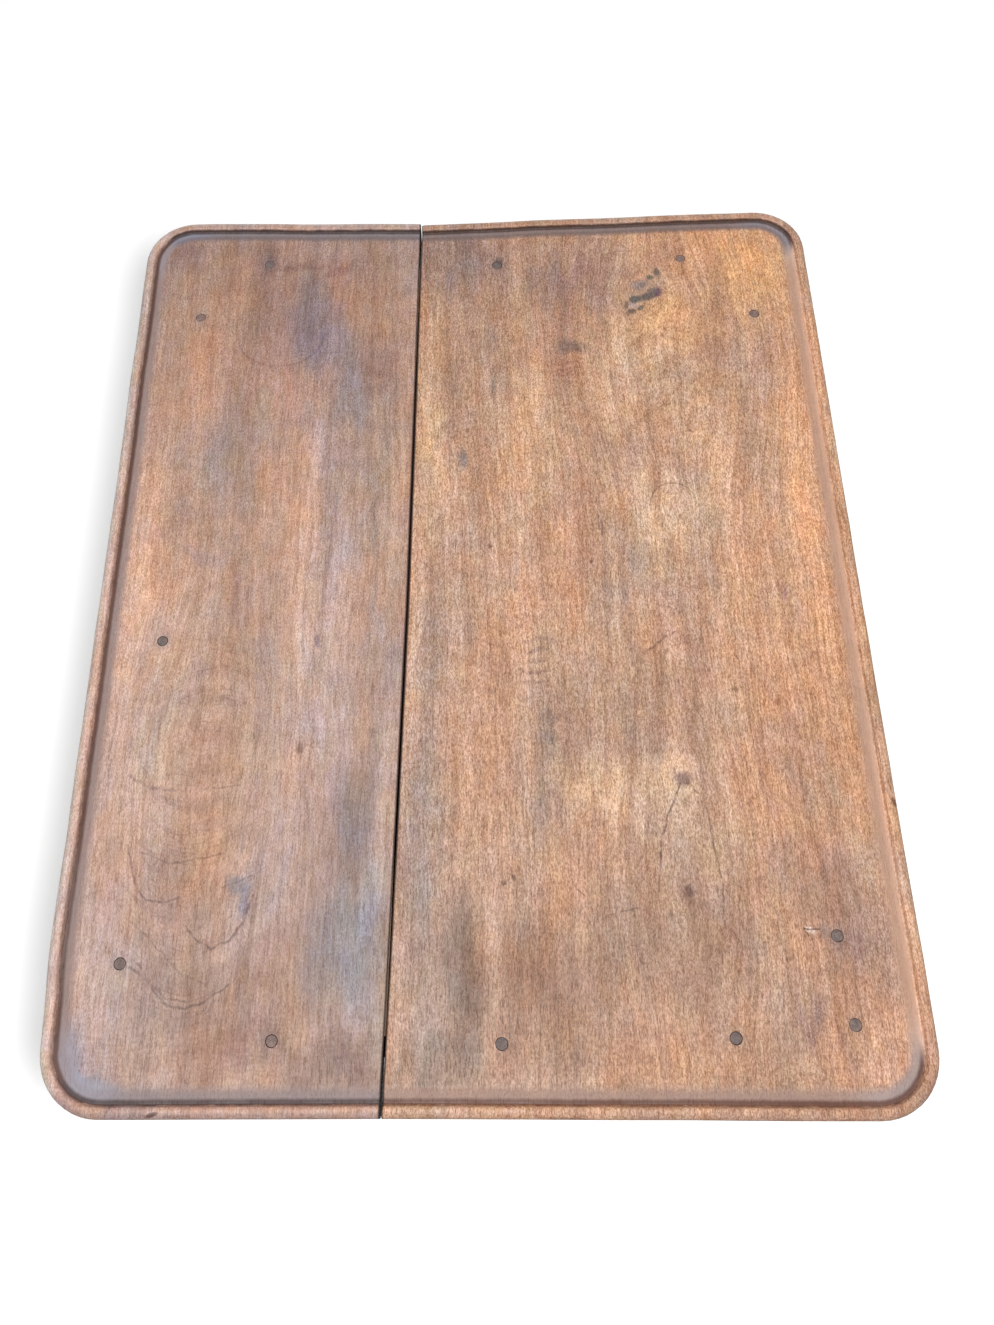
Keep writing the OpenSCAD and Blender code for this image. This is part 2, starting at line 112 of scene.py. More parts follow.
def rodMesh(bm, start, direction, length, radius, sides=32):
    turn = Vector((0, 0, 1)).rotation_difference(Vector(direction)).to_matrix().to_4x4()
    place = Matrix.Translation(Vector(start)) @ turn @ Matrix.Translation((0, 0, length / 2))
    bmesh.ops.create_cone(bm, cap_ends=True, segments=sides, radius1=radius, radius2=radius, depth=length,
                          matrix=place)


def cutWith(obj, build):  # build(bm) fills the cutter, in millimetres
    bm = bmesh.new()
    build(bm)
    bmesh.ops.scale(bm, vec=(mm, mm, mm), verts=bm.verts)
    data = bpy.data.meshes.new("cutter")
    bm.to_mesh(data)
    bm.free()
    cutter = addObject("cutter", data)
    step = obj.modifiers.new("cut", "BOOLEAN")
    step.object, step.operation, step.solver = cutter, "DIFFERENCE", "MANIFOLD"
    settle(obj)
    bpy.data.objects.remove(cutter)
    bpy.data.meshes.remove(data)


def along(keys, t):  # smooth curve through rows of numbers
    i = min(int(t), len(keys) - 2)
    f = t - i
    a, b, c, d = (np.array(keys[min(max(i + k, 0), len(keys) - 1)], float) for k in (-1, 0, 1, 2))
    return 0.5 * (2 * b + (c - a) * f + (2 * a - 5 * b + 4 * c - d) * f * f + (3 * b - a - 3 * c + d) * f ** 3)


def smoothStep(t):
    t = np.clip(t, 0, 1)
    return t * t * (3 - 2 * t)


def ripple(x, y, seed):  # seeded noise from -1 to 1
    flat = [noise.noise(Vector((a, b, seed))) for a, b in zip(np.ravel(x), np.ravel(y))]
    return np.reshape(flat, np.shape(x))


# camera: fitted to the outline of the top in the photograph
view = {
    "place": (-0.00106, -0.39077, 1.55586),
    "right": (0.999536, -0.000046, -0.030459),
    "down": (-0.011338, -0.928703, -0.370651),
    "forward": (-0.028270, 0.370825, -0.928273),
    "focalPixels": 1000.0, "imageSize": (994, 1325), "middlePixel": (446.98, 647.82),
    "sensor": 36, "near": 0.05, "far": 40,
}


def placeCamera():
    data = bpy.data.cameras.new("camera")
    cam = addObject("camera", data)
    turn = Matrix((view["right"], [-c for c in view["down"]], [-c for c in view["forward"]])).transposed()
    cam.matrix_world = Matrix.Translation(view["place"]) @ turn.to_quaternion().to_matrix().to_4x4()
    wide, tall = view["imageSize"]
    data.sensor_width = view["sensor"]
    data.lens = view["focalPixels"] * view["sensor"] / tall
    data.shift_x = (wide / 2 - view["middlePixel"][0]) / tall
    data.shift_y = (view["middlePixel"][1] - tall / 2) / tall
    data.clip_start, data.clip_end = view["near"], view["far"]
    bpy.context.scene.camera = cam


placeCamera()
print("camera placed")

# the top: two boards with a dished edge
top = {
    "halfWidth": 350.0, "halfLength": 443.0, "corner": 51.0, "rimTop": 725.0, "thickness": 24, "underRound": 9,
    "joint": -64.0, "jointSkew": 1.52, "jointGap": 1.6, "jointWear": 0.8, "jointLines": (0, 0.35, 0.8, 1.3, 1.9, 2.8),
    "step": 3.1, "fineStep": 1.5, "fineReach": 18, "largeDent": 20, "arcSteps": 12, "sharpest": 38,
    "planeWave": 0.26, "rimWave": 0.35, "handWave": 0.2, "wearReach": (30, 60), "bowReach": 90,
    "tongue": {"width": 28.6, "thickness": 8.6, "length": 766.6, "middle": 711.0},
    "pegBore": 5.05,
}
# depth under the rim at which the outer wall gives way to the face that looks up
wallTop = 8
# inset from the top's outline and depth under the rim
edgeSection = [(0, 11.5), (0, wallTop),
               (0, 4.3), (0.35, 2.7), (1.1, 1.35), (2.3, 0.5), (3.8, 0.1), (5.4, 0), (6.9, 0.03), (8.0, 0.22),
               (8.8, 0.75), (9.3, 1.7), (9.65, 2.9), (10.0, 3.9), (10.6, 4.4), (11.6, 4.5), (13.2, 4.38),
               (15.2, 4.05), (17.4, 3.55), (19.4, 3.05), (21.2, 2.67), (22.8, 2.52), (24.6, 2.5)]
# how far the worn outline stands inside the true rectangle: place along the side and depth
leftWear = [(-443, 4.3), (-371, 4.3), (-341, 0.9), (-300, 0.3), (-278, 0.3), (-246, 1.1), (-212, 1.6), (-177, 0.8),
            (-104, 1.4), (-27, 1.0), (13, 1.4), (55, 1.1), (99, 1.6), (190, 1.4), (239, 0.6), (288, 1.5), (340, 1.1),
            (443, 0.8)]
rightWear = [(-443, 0.4), (-335, 0.1), (-305, 0.0), (-273, 0.6), (-174, 0.9), (-138, 0.6), (-102, 1.1), (-65, 0.7),
             (-5, 1.0), (54, 0.5), (141, 0.6), (187, 0.3), (443, 0.1)]
nearWear = [(-350, 1.5), (-310, 0.6), (-283, 0.3), (-222, 0.8), (-130, 1.2), (-69, 1.5), (-8, 1.4), (51, 1.3),
            (111, 0.9), (141, 1.2), (201, 0.7), (261, 0.5), (350, 0.7)]
farWearLeft = [(-350, 0), (-279, 0.1), (-213, 2.0), (-180, 3.6), (-147, 4.3), (-114, 4.8), (-82, 6.0), (-52, 6.9)]
farWearRight = [(-52, 8.8), (-28, 8.1), (4, 7.5), (36, 6.8), (69, 5.3), (133, 4.8), (166, 4.1), (198, 3.1),
                (230, 2.4), (294, 1.8), (350, 0)]
jointBow = [(-443, -1.3), (-330, 0.0), (-196, 1.0), (-10, 1.9), (209, 0.4), (320, -0.6), (443, -1.7)]
# dents: middle, half widths and depth
dents = [(-8, 138, 3.2, 12, 0.7), (99, 272, 16, 5, 0.25), (187, 336, 9, 4.5, 0.9), (178, 338, 4, 4, 0.6),
         (174, 353, 4, 4, 0.5), (190, 360, 5, 3, 0.6), (169, 320, 4, 4, 0.5), (175, 317, 5, 3, 0.5),
         (263, -307, 6, 6, 0.7), (256, -372, 18, 14, 0.3), (176, -178, 6, 7, 0.35), (-198, -269, 15, 10, 0.35),
         (-154, -150, 2.5, 5, 0.4), (172, -274, 4, 8, 0.3), (61, -71, 12, 24, 0.18), (-190, -60, 40, 60, 0.25),
         (60, 240, 50, 90, 0.25)]
pegPlaces = [(-215.5, 385), (26.5, 377.5), (219.5, 381), (-283.5, 316.5), (-285, -48), (-290, -328.5),
             (-163.5, -386.5), (16, -388.5), (196.5, -384.5), (288.5, 307), (284.5, -308.5), (289, -375)]


def level(keys, at):
    return np.interp(at, [k[0] for k in keys], [k[1] for k in keys])


def fade(keys, at):  # the same keys, rounded off between them
    return sum(level(keys, at + d) for d in (-24, -12, 0, 12, 24)) / 5


def jointMiddle(y):
    return top["joint"] + y * math.tan(math.radians(top["jointSkew"]))


def jointEdge(side, y):
    return jointMiddle(y) + side * top["jointGap"] / 2 / math.cos(math.radians(top["jointSkew"]))


def gridLines(low, high, fine):  # places from low to high, closer near the fine ones
    lines, at = [low], low
    while at < high:
        near = min([max(abs(at - m) - r, 0) / top["fineReach"] for m, r in fine] + [1])
        at += top["fineStep"] + (top["step"] - top["fineStep"]) * near
        lines.append(at)
    lines = np.array(lines)
    return low + (lines - low) * (high - low) / (lines[-1] - low)


def shapeBoard(side, x, y, z, upper):  # wear. side is -1 left, 1 right, and upper is 1 where the face looks up
    fromJoint = np.abs(x - jointMiddle(y)) - top["jointGap"] / 2
    z -= upper * top["jointWear"] * np.clip(1 - fromJoint / top["jointLines"][-2], 0, 1) ** 2
    insets = [top["halfWidth"] - np.abs(x), top["halfLength"] + y, top["halfLength"] - y]
    inset = np.minimum.reduce(insets)
    field = smoothStep((inset - 22) / 10) * upper
    wave = ripple(x / 34 + side * 7, y / 210, 3.1) + 0.45 * ripple(x / 15, y / 85 + 9, 8.2)
    z -= field * top["planeWave"] * (wave + 1.2) / 2
    for cx, cy, rx, ry, depth in dents:
        d = ((x - cx) / rx) ** 2 + ((y - cy) / ry) ** 2
        close = d < 4
        if close.any():
            ragged = 1 + 0.35 * ripple(x[close] / 3.5, y[close] / 3.5, cx)
            z[close] -= field[close] * depth * smoothStep(1.25 - d[close] * ragged)
    rim = (1 - smoothStep((inset - 9) / 3)) * upper
    z -= rim * top["rimWave"] * (ripple(x / 70, y / 70, 5.5) + 1) / 2
    start, length = top["wearReach"]
    reach = [1 - smoothStep((gap - start) / length) for gap in insets]
    x += reach[0] * np.where(x < 0, fade(leftWear, y), -fade(rightWear, y))
    y += reach[1] * fade(nearWear, x)
    y -= reach[2] * level(farWearLeft if side < 0 else farWearRight, x)
    x += (1 - smoothStep(fromJoint / top["bowReach"])) * fade(jointBow, y)
    hand = top["handWave"] * (1 - smoothStep(inset / start)) * (insets[0] < start)  # the outline wanders a little
    x += hand * (ripple(x / 40, y / 22, 12.5) + 1.1) * np.where(x < 0, 1, -1)


def boardMesh(name, side):
    halfW, halfL, corner = top["halfWidth"], top["halfLength"], top["corner"]
    centreX, centreY = side * (halfW - corner), halfL - corner
    edgeX = lambda y: jointEdge(side, y)
    small = [d for d in dents if (d[0] - edgeX(d[1])) * side > 0 and d[2] < top["largeDent"]]
    width = abs(centreX - edgeX(0))
    cols = gridLines(4.0, width, [(abs(d[0] - edgeX(d[1])), d[2]) for d in small])
    cols = np.concatenate((top["jointLines"], cols)) / width
    rows = gridLines(-centreY, centreY, [(d[1], d[3]) for d in small])[1:-1]
    r, flat = top["underRound"], top["thickness"] - top["underRound"]
    section = [(r - r * math.cos(a), flat + r * math.sin(a)) for a in np.radians(np.linspace(90, 0, 7))] + edgeSection

    def across(c, x, y):  # from the joint towards x
        return edgeX(y) + c * (x - edgeX(y)), y

    def chain(inset):  # near corner, side, far corner
        r = corner - inset
        near = [(centreX + side * r * math.cos(a), -centreY + r * math.sin(a))
                for a in np.radians(np.linspace(-90, 0, top["arcSteps"] + 1))]
        return near + [(centreX + side * r, y) for y in rows] + [(a, -b) for a, b in reversed(near)]

    def path(inset):
        near, far = ([across(c, centreX, y) for c in cols[:-1]] for y in (inset - halfL, halfL - inset))
        return near + chain(inset) + far[::-1]

    points = []  # x, y, height, inset and whether it looks up
    for inset, drop in section:
        up = drop < wallTop
        points += [(x, y, top["rimTop"] - drop, inset if up else -1, up) for x, y in path(inset)]
    loops = np.arange(len(points)).reshape(len(section), -1)
    columns, inner = len(cols), chain(section[-1][0])
    grid = np.zeros((len(inner), columns), int)
    grid[0], grid[-1] = loops[-1, :columns], loops[-1, ::-1][:columns]
    grid[:, -1] = loops[-1, columns - 1:columns - 1 + len(inner)]
    for k in range(1, len(inner) - 1):
        for j in range(columns - 1):
            grid[k, j] = len(points)
            x, y = across(cols[j], *inner[k])
            points.append((x, y, top["rimTop"] - section[-1][1], min(halfL - abs(y), halfW - abs(x)), 1))
    wall = [*loops[:, 0], *grid[1:-1, 0], *loops[::-1, -1]]
    faces = gridFaces(loops) + gridFaces(grid) + [loops[0, ::-1], wall]
    if side < 0:
        faces = [f[::-1] for f in faces]
    x, y, z, insets, upper = np.array(points, float).T
    seams = np.abs(x - edgeX(y))
    shapeBoard(side, x, y, z, upper)
    board = meshObject(name, np.stack([x, y, z], 1) * mm, faces)
    tree = kdtree.KDTree(len(x))
    for i, spot in enumerate(np.stack([x, y, z], 1) * mm):
        tree.insert(spot, i)
    tree.balance()

    bores = [q for q in pegPlaces if (q[0] - edgeX(q[1])) * side > 0]
    cutWith(board, lambda bm: [rodMesh(bm, (bx, by, 690), (0, 0, 1), 50, top["pegBore"]) for bx, by in bores])

    def groove(bm):
        t = top["tongue"]
        boxMesh(bm, (-t["width"] / 2, -t["length"] / 2, t["middle"] - t["thickness"] / 2),
                (t["width"] / 2, t["length"] / 2, t["middle"] + t["thickness"] / 2))
        bmesh.ops.rotate(bm, verts=bm.verts, matrix=Matrix.Rotation(math.radians(-top["jointSkew"]), 3, "Z"))
        bmesh.ops.translate(bm, verts=bm.verts, vec=(top["joint"], 0, 0))
    cutWith(board, groove)
    # how far in from the outline and from the joint each point lies, for the finish
    nearest = [tree.find(v.co)[1] for v in board.data.vertices]
    onPoints(board, "inset", insets[nearest])
    onPoints(board, "seam", seams[nearest])
    shadeFrom(board, top["sharpest"])
    print(name, "triangles", sum(len(f.vertices) - 2 for f in board.data.polygons))
    return board


leftBoard = boardMesh("boardLeft", -1)
rightBoard = boardMesh("boardRight", 1)


# finishes
def feed(tree, socket, value):  # a link or a plain value
    if isinstance(value, bpy.types.NodeSocket):
        tree.links.new(value, socket)
    else:
        socket.default_value = value


def putNode(tree, kind, ins=(), **settings):
    node = tree.nodes.new(kind)
    for key, value in settings.items():
        setattr(node, key, value)
    for key, value in dict(ins).items():
        feed(tree, node.inputs[key], value)
    return node


class paintKit:  # one material, and short ways to add nodes to it
    def __init__(self, name):
        self.mat = bpy.data.materials.new(name)
        self.mat.use_nodes = True
        self.tree = self.mat.node_tree
        self.shader = self.tree.nodes["Principled BSDF"]
        self.place = self.put("TexCoord").outputs["Object"]

    def put(self, kind, ins=(), **settings):
        return putNode(self.tree, "ShaderNode" + kind, ins, **settings)

    def calc(self, operation, *values):
        return self.put("Math", dict(enumerate(values)), operation=operation).outputs[0]

    def times(self, a, b):
        return self.calc("MULTIPLY", a, b)

    def minus(self, a, b):
        return self.calc("SUBTRACT", a, b)

    def scaled(self, value, by, plus):
        return self.calc("MULTIPLY_ADD", value, by, plus)

    def ridge(self, value):  # 0 along the middle of a noise
        return self.calc("ABSOLUTE", self.minus(value, 0.5))

    def vector(self, operation, a, b=(0, 0, 0)):
        return self.put("VectorMath", {0: a, 1: b}, operation=operation).outputs

    def stored(self, name):  # what a mesh keeps on its points
        return self.put("Attribute", attribute_type="GEOMETRY", attribute_name=name).outputs

    def mapped(self, vector, scale, place=(0, 0, 0), turn=0, kind="POINT"):
        return self.put("Mapping", {"Vector": vector, "Scale": scale, "Location": place, "Rotation": (0, 0, turn)},
                        vector_type=kind).outputs[0]

    def noise(self, vector, scale, detail, rough, seed, out=0):
        moved = self.mapped(vector, scale, (seed, seed * 1.7, seed * 0.6))
        return self.put("TexNoise", {"Vector": moved, "Scale": 1, "Detail": detail, "Roughness": rough}).outputs[out]

    def span(self, value, low, high, toLow=0.0, toHigh=1.0):
        return self.put("MapRange", {0: value, 1: low, 2: high, 3: toLow, 4: toHigh},
                        interpolation_type="SMOOTHSTEP").outputs[0]

    def spread(self, value, low, *ends):  # the middle of a noise, drawn out to both ends
        return self.span(value, low, 1 - low, *ends)

    def mix(self, amount, a, b, mode="MIX"):
        a, b = (c if isinstance(c, bpy.types.NodeSocket) else (*c, 1) for c in (a, b))
        return self.put("Mix", {0: amount, 6: a, 7: b}, data_type="RGBA", blend_type=mode).outputs[2]

    def tint(self, colour, amount, low, high):  # multiplies by low where amount is 0 and by high where it is 1
        return self.mix(1, colour, self.mix(amount, low, high), "MULTIPLY")

    def stain(self, colour, amount, by):
        return self.mix(amount, colour, by, "MULTIPLY")

    def ellipse(self, vector, centre, radii, turn):  # an ellipse's own plan, and how far out in it, 1 at its edge
        near = self.mapped(vector, (radii[0] * mm, radii[1] * mm, 50), (centre[0] * mm, centre[1] * mm, 0),
                           math.radians(turn), "TEXTURE")
        return near, self.vector("LENGTH", near)["Value"]

    def within(self, vector, centre, radii, turn, soft):  # 1 inside an ellipse on the table's plan
        return self.span(self.ellipse(vector, centre, radii, turn)[1], 1 + soft, 1 - soft)

    def stroke(self, vector, points, width):  # 1 along a drawn line
        near = None
        for a, b in zip(points, points[1:]):
            way = (Vector(b) - Vector(a)) * mm
            off = self.vector("SUBTRACT", vector, (a[0] * mm, a[1] * mm, 0))[0]
            off = self.vector("MULTIPLY", off, (1, 1, 0))[0]
            part = self.vector("DOT_PRODUCT", off, (*(way / way.length_squared), 0))["Value"]
            part = self.put("Clamp", {0: part}).outputs[0]
            line = self.put("VectorMath", {0: (*way, 0), "Scale": part}, operation="SCALE").outputs[0]
            gap = self.vector("DISTANCE", off, line)["Value"]
            near = gap if near is None else self.calc("MINIMUM", near, gap)
        return self.span(near, width * mm, width * mm * 0.25)

    def shifted(self, vector, scale, amount, seed):  # a place that wanders with noise
        push = self.vector("SUBTRACT", self.noise(vector, scale, 2, 0.5, seed, 1), (0.5, 0.5, 0.5))[0]
        return self.vector("ADD", vector, self.vector("MULTIPLY", push, amount)[0])[0]

    def finish(self, colour, rough, height, depth):
        bump = self.put("Bump", {"Strength": 1, "Distance": depth, "Height": height}).outputs[0]
        given = {"Base Color": colour, "Roughness": rough, "Normal": bump, "Specular IOR Level": 0.35}
        for key, value in given.items():
            feed(self.tree, self.shader.inputs[key], value)
        return self.mat


def percent(tone):
    return [part / 100 for part in tone]


def layTone(board, look):  # broad fields of lighter and darker tone, kept on the mesh's points
    place = np.array([v.co for v in board.data.vertices]) / mm
    x, y = place[:, 0], place[:, 1]
    # a field's edge runs out in streaks along the grain
    px = x + 9 * ripple(x / 24, y / 150, look["seed"]) + 3 * ripple(x / 9, y / 60, look["seed"] + 1)
    py = y + 34 * ripple(x / 18, y / 170, look["seed"] + 2) + 14 * ripple(x / 7, y / 80, look["seed"] + 3)
    tone = np.ones((len(x), 3))
    for cx, cy, rx, ry, *by in look["fields"]:
        inside = smoothStep((1.75 - np.hypot((px - cx) / rx, (py - cy) / ry)) / 1.5)
        tone *= 1 + inside[:, None] * (np.array(percent(by)) - 1)
    onPoints(board, "tone", tone, "FLOAT_VECTOR", "vector")


# the boards' grain: noise across and along it, detail, roughness and seed, where its span starts,
# and the colours that it multiplies by at both ends of the span
# their lighter ends lean greyer and bluer: partly the grain's own tone, partly painted glints on the fibres' ridges
grain = {
    "drift": ((15, 8, 4, 0.6, 30), 0.34, (1.05, 0.99, 0.95), (0.95, 0.995, 1.05)),
    "patch": ((75, 26, 3, 0.6, 33), 0.34, (1.03, 0.985, 0.98), (0.97, 1.01, 1.02)),
    "gold": ((60, 30, 3, 0.6, 36), 0.34, (1.02, 1.00, 0.925), (0.98, 1.00, 1.075)),
    "streak": ((62, 5.5, 4, 0.6, 12), 0.33, (0.90, 0.875, 0.86), (1.09, 1.11, 1.12)),
    "line": ((330, 7, 3, 0.6, 16), 0.32, (0.92, 0.90, 0.885), (1.075, 1.095, 1.11)),
    "long": ((260, 2.2, 3, 0.6, 52), 0.34, (0.90, 0.885, 0.87), (1.09, 1.10, 1.115)),
    "fibre": ((480, 60, 3, 0.7, 18), 0.32, (0.87, 0.835, 0.80), (1.14, 1.175, 1.21)),
    "cross": ((26, 60, 3, 0.6, 27), 0.3, (0.94, 0.93, 0.93), (1.06, 1.07, 1.07)),
    "chatter": ((70, 430, 2, 0.6, 43), 0.34, (0.94, 0.93, 0.92), (1.06, 1.07, 1.08)),
    "bow": ((11, 75, 3, 0.6, 46), 0.36, (0.93, 0.92, 0.92), (1.07, 1.08, 1.08)),
}
# noise that bends the growth lines, and how far in metres
bends = [((4, 1.7, 2, 0.5, 0), 0.045), ((30, 11, 3, 0.6, 4), 0.011)]
# the dished edge: millimetres from the outline over which each tone comes, and goes again
edgeBands = {
    "rimOuter": ((-0.9, 0.2), (6.4, 3.0)), "rimInner": ((3.0, 6.4), (11.2, 10.0)), "patinaAndSheen": ((9.8, 11.5), (27, 16.5)),
    "foot": ((9.4, 10.5), (15.9, 12.6)), "farShade": ((15, 19), (25.5, 21)),
}


def boardWood(name, look):
    kit = paintKit(name)
    place = kit.place
    x, y, z = kit.put("SeparateXYZ", {0: place}).outputs

    def own(vector, across, along, detail, rough, seed):  # noise of this board's own
        return kit.noise(vector, (across, along, across), detail, rough, look["seed"] + seed)

    def deeper(tone, by=look["grain"]):  # this board's grain, stronger or fainter
        return [1 + (part - 1) * by for part in tone]

    grown = {}

    def layer(key, vector, only=None, by=1):  # the colour so far under one layer of grain
        shape, start, low, high = grain[key]
        grown[key] = own(vector, *shape)
        amount = kit.spread(grown[key], start)
        if only is not None:
            amount = kit.mix(only, (0.5, 0.5, 0.5), amount)
        return kit.tint(colour, amount, deeper(low, by), deeper(high, by))
    spotPlace = kit.shifted(place, (38, 20, 38), (0.012, 0.020, 0), 3)
    linePlace = kit.shifted(place, (130, 90, 130), (0.0035, 0.0045, 0), 5)
    # growth lines: where the grain runs, as a distance across it
    lines = x
    for shape, reach in bends:
        lines = kit.calc("ADD", lines, kit.times(kit.minus(own(place, *shape), 0.5), reach))
    for cx, cy, rx, ry, gain in look["swirls"]:
        bulge = kit.times(kit.within(place, (cx, cy), (rx, ry), 0, 0.7), gain)
        lines = kit.scaled(kit.minus(x, cx * mm), bulge, lines)
    flow = kit.put("CombineXYZ", {0: lines, 1: y, 2: z}).outputs[0]

    # colour: broad fields and drifts of hue, streaks, growth lines, fibres, flecks, pores
    colour = kit.mix(kit.spread(own(place, 7, 2.6, 4, 0.6, 8), 0.36), look["golden"], look["rosy"])
    colour = layer("drift", place)
    colour = layer("patch", flow)
    colour = layer("gold", flow)
    colour = layer("streak", flow, None, look["grain"])
    ring = kit.ridge(own(flow, 110, 2.6, 3, 0.6, 15))
    colour = kit.tint(colour, kit.span(ring, 0.0, 0.03), deeper((0.90, 0.87, 0.85)), (1, 1, 1))
    colour = layer("line", flow, None, look["grain"])
    for cx, cy, rx, ry in look["plain"]:  # where the growth lines run long and straight
        colour = layer("long", flow, kit.within(place, (cx, cy), (rx, ry), 0, 0.5))
    colour = layer("fibre", flow)
    grip = kit.span(y, -0.40, 0.40, *look["grip"])
    # flecks: the lighter ones turn bluer, painted glints over the wood's own flecks
    fleck = kit.spread(own(place, 1200, 430, 1, 0.8, 21), 0.32)
    fleck = kit.scaled(kit.minus(fleck, 0.5), grip, 0.5)
    darker, lighter = ([1 + by * part for part in (1, 1.25, 1.48)] for by in (-look["fleck"], look["fleck"]))
    colour = kit.tint(colour, fleck, darker, lighter)
    pore = kit.span(own(place, 1000, 110, 1, 0.5, 24), 0.60, 0.70)
    colour = kit.stain(colour, kit.times(pore, look["pores"]), (0.52, 0.42, 0.38))
    colour = layer("cross", place)
    colour = layer("chatter", place, kit.span(y, -0.34, -0.385))
    for cx, cy, rx, ry, sag in look["bowls"]:  # growth lines that hang in bows
        off = kit.minus(x, cx * mm)
        bow = kit.put("CombineXYZ", {0: x, 1: kit.scaled(kit.times(off, off), -sag, y), 2: z}).outputs[0]
        inside = kit.within(spotPlace, (cx, cy), (rx, ry), 0, 0.6)
        colour = layer("bow", bow, inside)
        thin = kit.span(kit.ridge(own(bow, 10, 80, 2, 0.5, 49)), 0.016, 0)
        colour = kit.stain(colour, kit.times(thin, inside), (0.80, 0.76, 0.75))

    def marked(vector, cx, cy, rx, ry, turn, soft, *by):
        return kit.stain(colour, kit.within(vector, (cx, cy), (rx, ry), turn, soft), percent(by))
    bare = colour
    colour = kit.mix(1, colour, kit.stored("tone")["Color"], "MULTIPLY")
    for spot in look["spots"]:
        colour = marked(spotPlace, *spot)
    for cx, cy, rx, ry, turn, thin, *by in look["rings"]:  # thin curved lines: part of an ellipse
        near, far = kit.ellipse(place, (cx, cy), (rx, ry), turn)
        edge = kit.span(kit.calc("ABSOLUTE", kit.minus(far, 1)), thin, 0)
        half = kit.span(kit.put("SeparateXYZ", {0: near}).outputs[1], -0.25, 0.2)
        colour = kit.stain(colour, kit.times(edge, half), percent(by))
    broken = kit.span(kit.noise(place, (120, 120, 120), 2, 0.5, 52), 0.34, 0.54, 0.25, 1)
    for width, by, points in look["strokes"]:
        colour = kit.stain(colour, kit.times(kit.stroke(linePlace, points, width), broken), percent(by))

    # the edge: a pale rim, partly wear and partly painted highlight; a dark line of painted shade at its foot; a grey
    # gutter, partly patina and partly painted reflection; each side with its own painted light and shade
    inset = kit.stored("inset")["Fac"]
    inset = kit.scaled(kit.minus(kit.noise(place, (90, 90, 90), 3, 0.6, 31), 0.5), 1.3, inset)
    fromNear = kit.calc("ADD", y, top["halfLength"] * mm)
    fromFar = kit.minus(top["halfLength"] * mm, y)
    fromSide = kit.minus(top["halfWidth"] * mm, kit.calc("ABSOLUTE", x))
    toRight = kit.span(x, -0.05, 0.05)
    pastCorner = kit.scaled(toRight, 0.035, fromSide)  # on the right, the ends' painted shade at the foot turns the corners
    toNear, toFar = (kit.span(kit.minus(gap, pastCorner), 0.012, -0.012) for gap in (fromNear, fromFar))
    corner = kit.span(kit.calc("MAXIMUM", fromSide, kit.calc("MINIMUM", fromNear, fromFar)), 0.085, 0.045)

    # each side of the edge takes its own tones: painted light, shade and reflection by side
    def bySide(left, right, near, far):
        return kit.mix(toFar, kit.mix(toNear, kit.mix(toRight, left, right), near), far)

    def band(key, start=inset, end=inset):
        comes, goes = edgeBands[key]
        return kit.times(kit.span(start, *comes), kit.span(end, *goes))
    colour = kit.mix(kit.span(inset, 25, 16), colour, bare)
    # the pale rim: wear, with a painted highlight that differs by side
    for key in ("rimOuter", "rimInner"):
        colour = kit.stain(colour, band(key), bySide(*look[key]))
    nearLeftSheen = kit.times(kit.times(corner, kit.span(x, 0.05, -0.05)), kit.span(y, 0.05, -0.05))  # painted reflection: the gutter's sheen reaches further in, in the near left corner
    # the gutter's grey: patina with a painted reflection, lighter and bluer in the corners
    grey = kit.tint(bySide(*look["gutter"]), corner, (1, 1, 1), (1.12, 1.34, 1.58))
    colour = kit.mix(kit.times(band("patinaAndSheen", inset, kit.scaled(nearLeftSheen, -8, inset)), 0.8), colour, grey)
    # painted shade: a dark line where the rim meets the gutter, widest on the far side; on the right board's right
    # side it lightens instead
    foot = band("foot", kit.scaled(toFar, 0.9, inset), kit.scaled(toFar, 2.0, inset))
    colour = kit.stain(colour, foot, bySide(*look["foot"]))
    # painted shade beyond the gutter on the far side
    colour = kit.stain(colour, kit.times(band("farShade"), toFar), (0.72, 0.70, 0.70))
    for chip in look["chips"]:
        colour = marked(place, *chip)
    halo = None
    for peg in pegPlaces:
        ring = kit.within(place, peg, (9.5, 9.5), 0, 0.35)
        halo = ring if halo is None else kit.calc("MAXIMUM", halo, ring)
    colour = kit.stain(colour, kit.times(halo, 0.5), (0.80, 0.84, 0.92))
    colour = kit.stain(colour, kit.span(kit.stored("seam")["Fac"], 1.9, 0.3), (0.10, 0.08, 0.08))
    rough = kit.spread(kit.noise(place, (22, 9, 22), 4, 0.6, 41), 0.3, 0.40, 0.62)
    height = kit.scaled(grown["fibre"], 0.6, kit.times(pore, -0.7))
    return kit.finish(colour, rough, height, 0.00022)


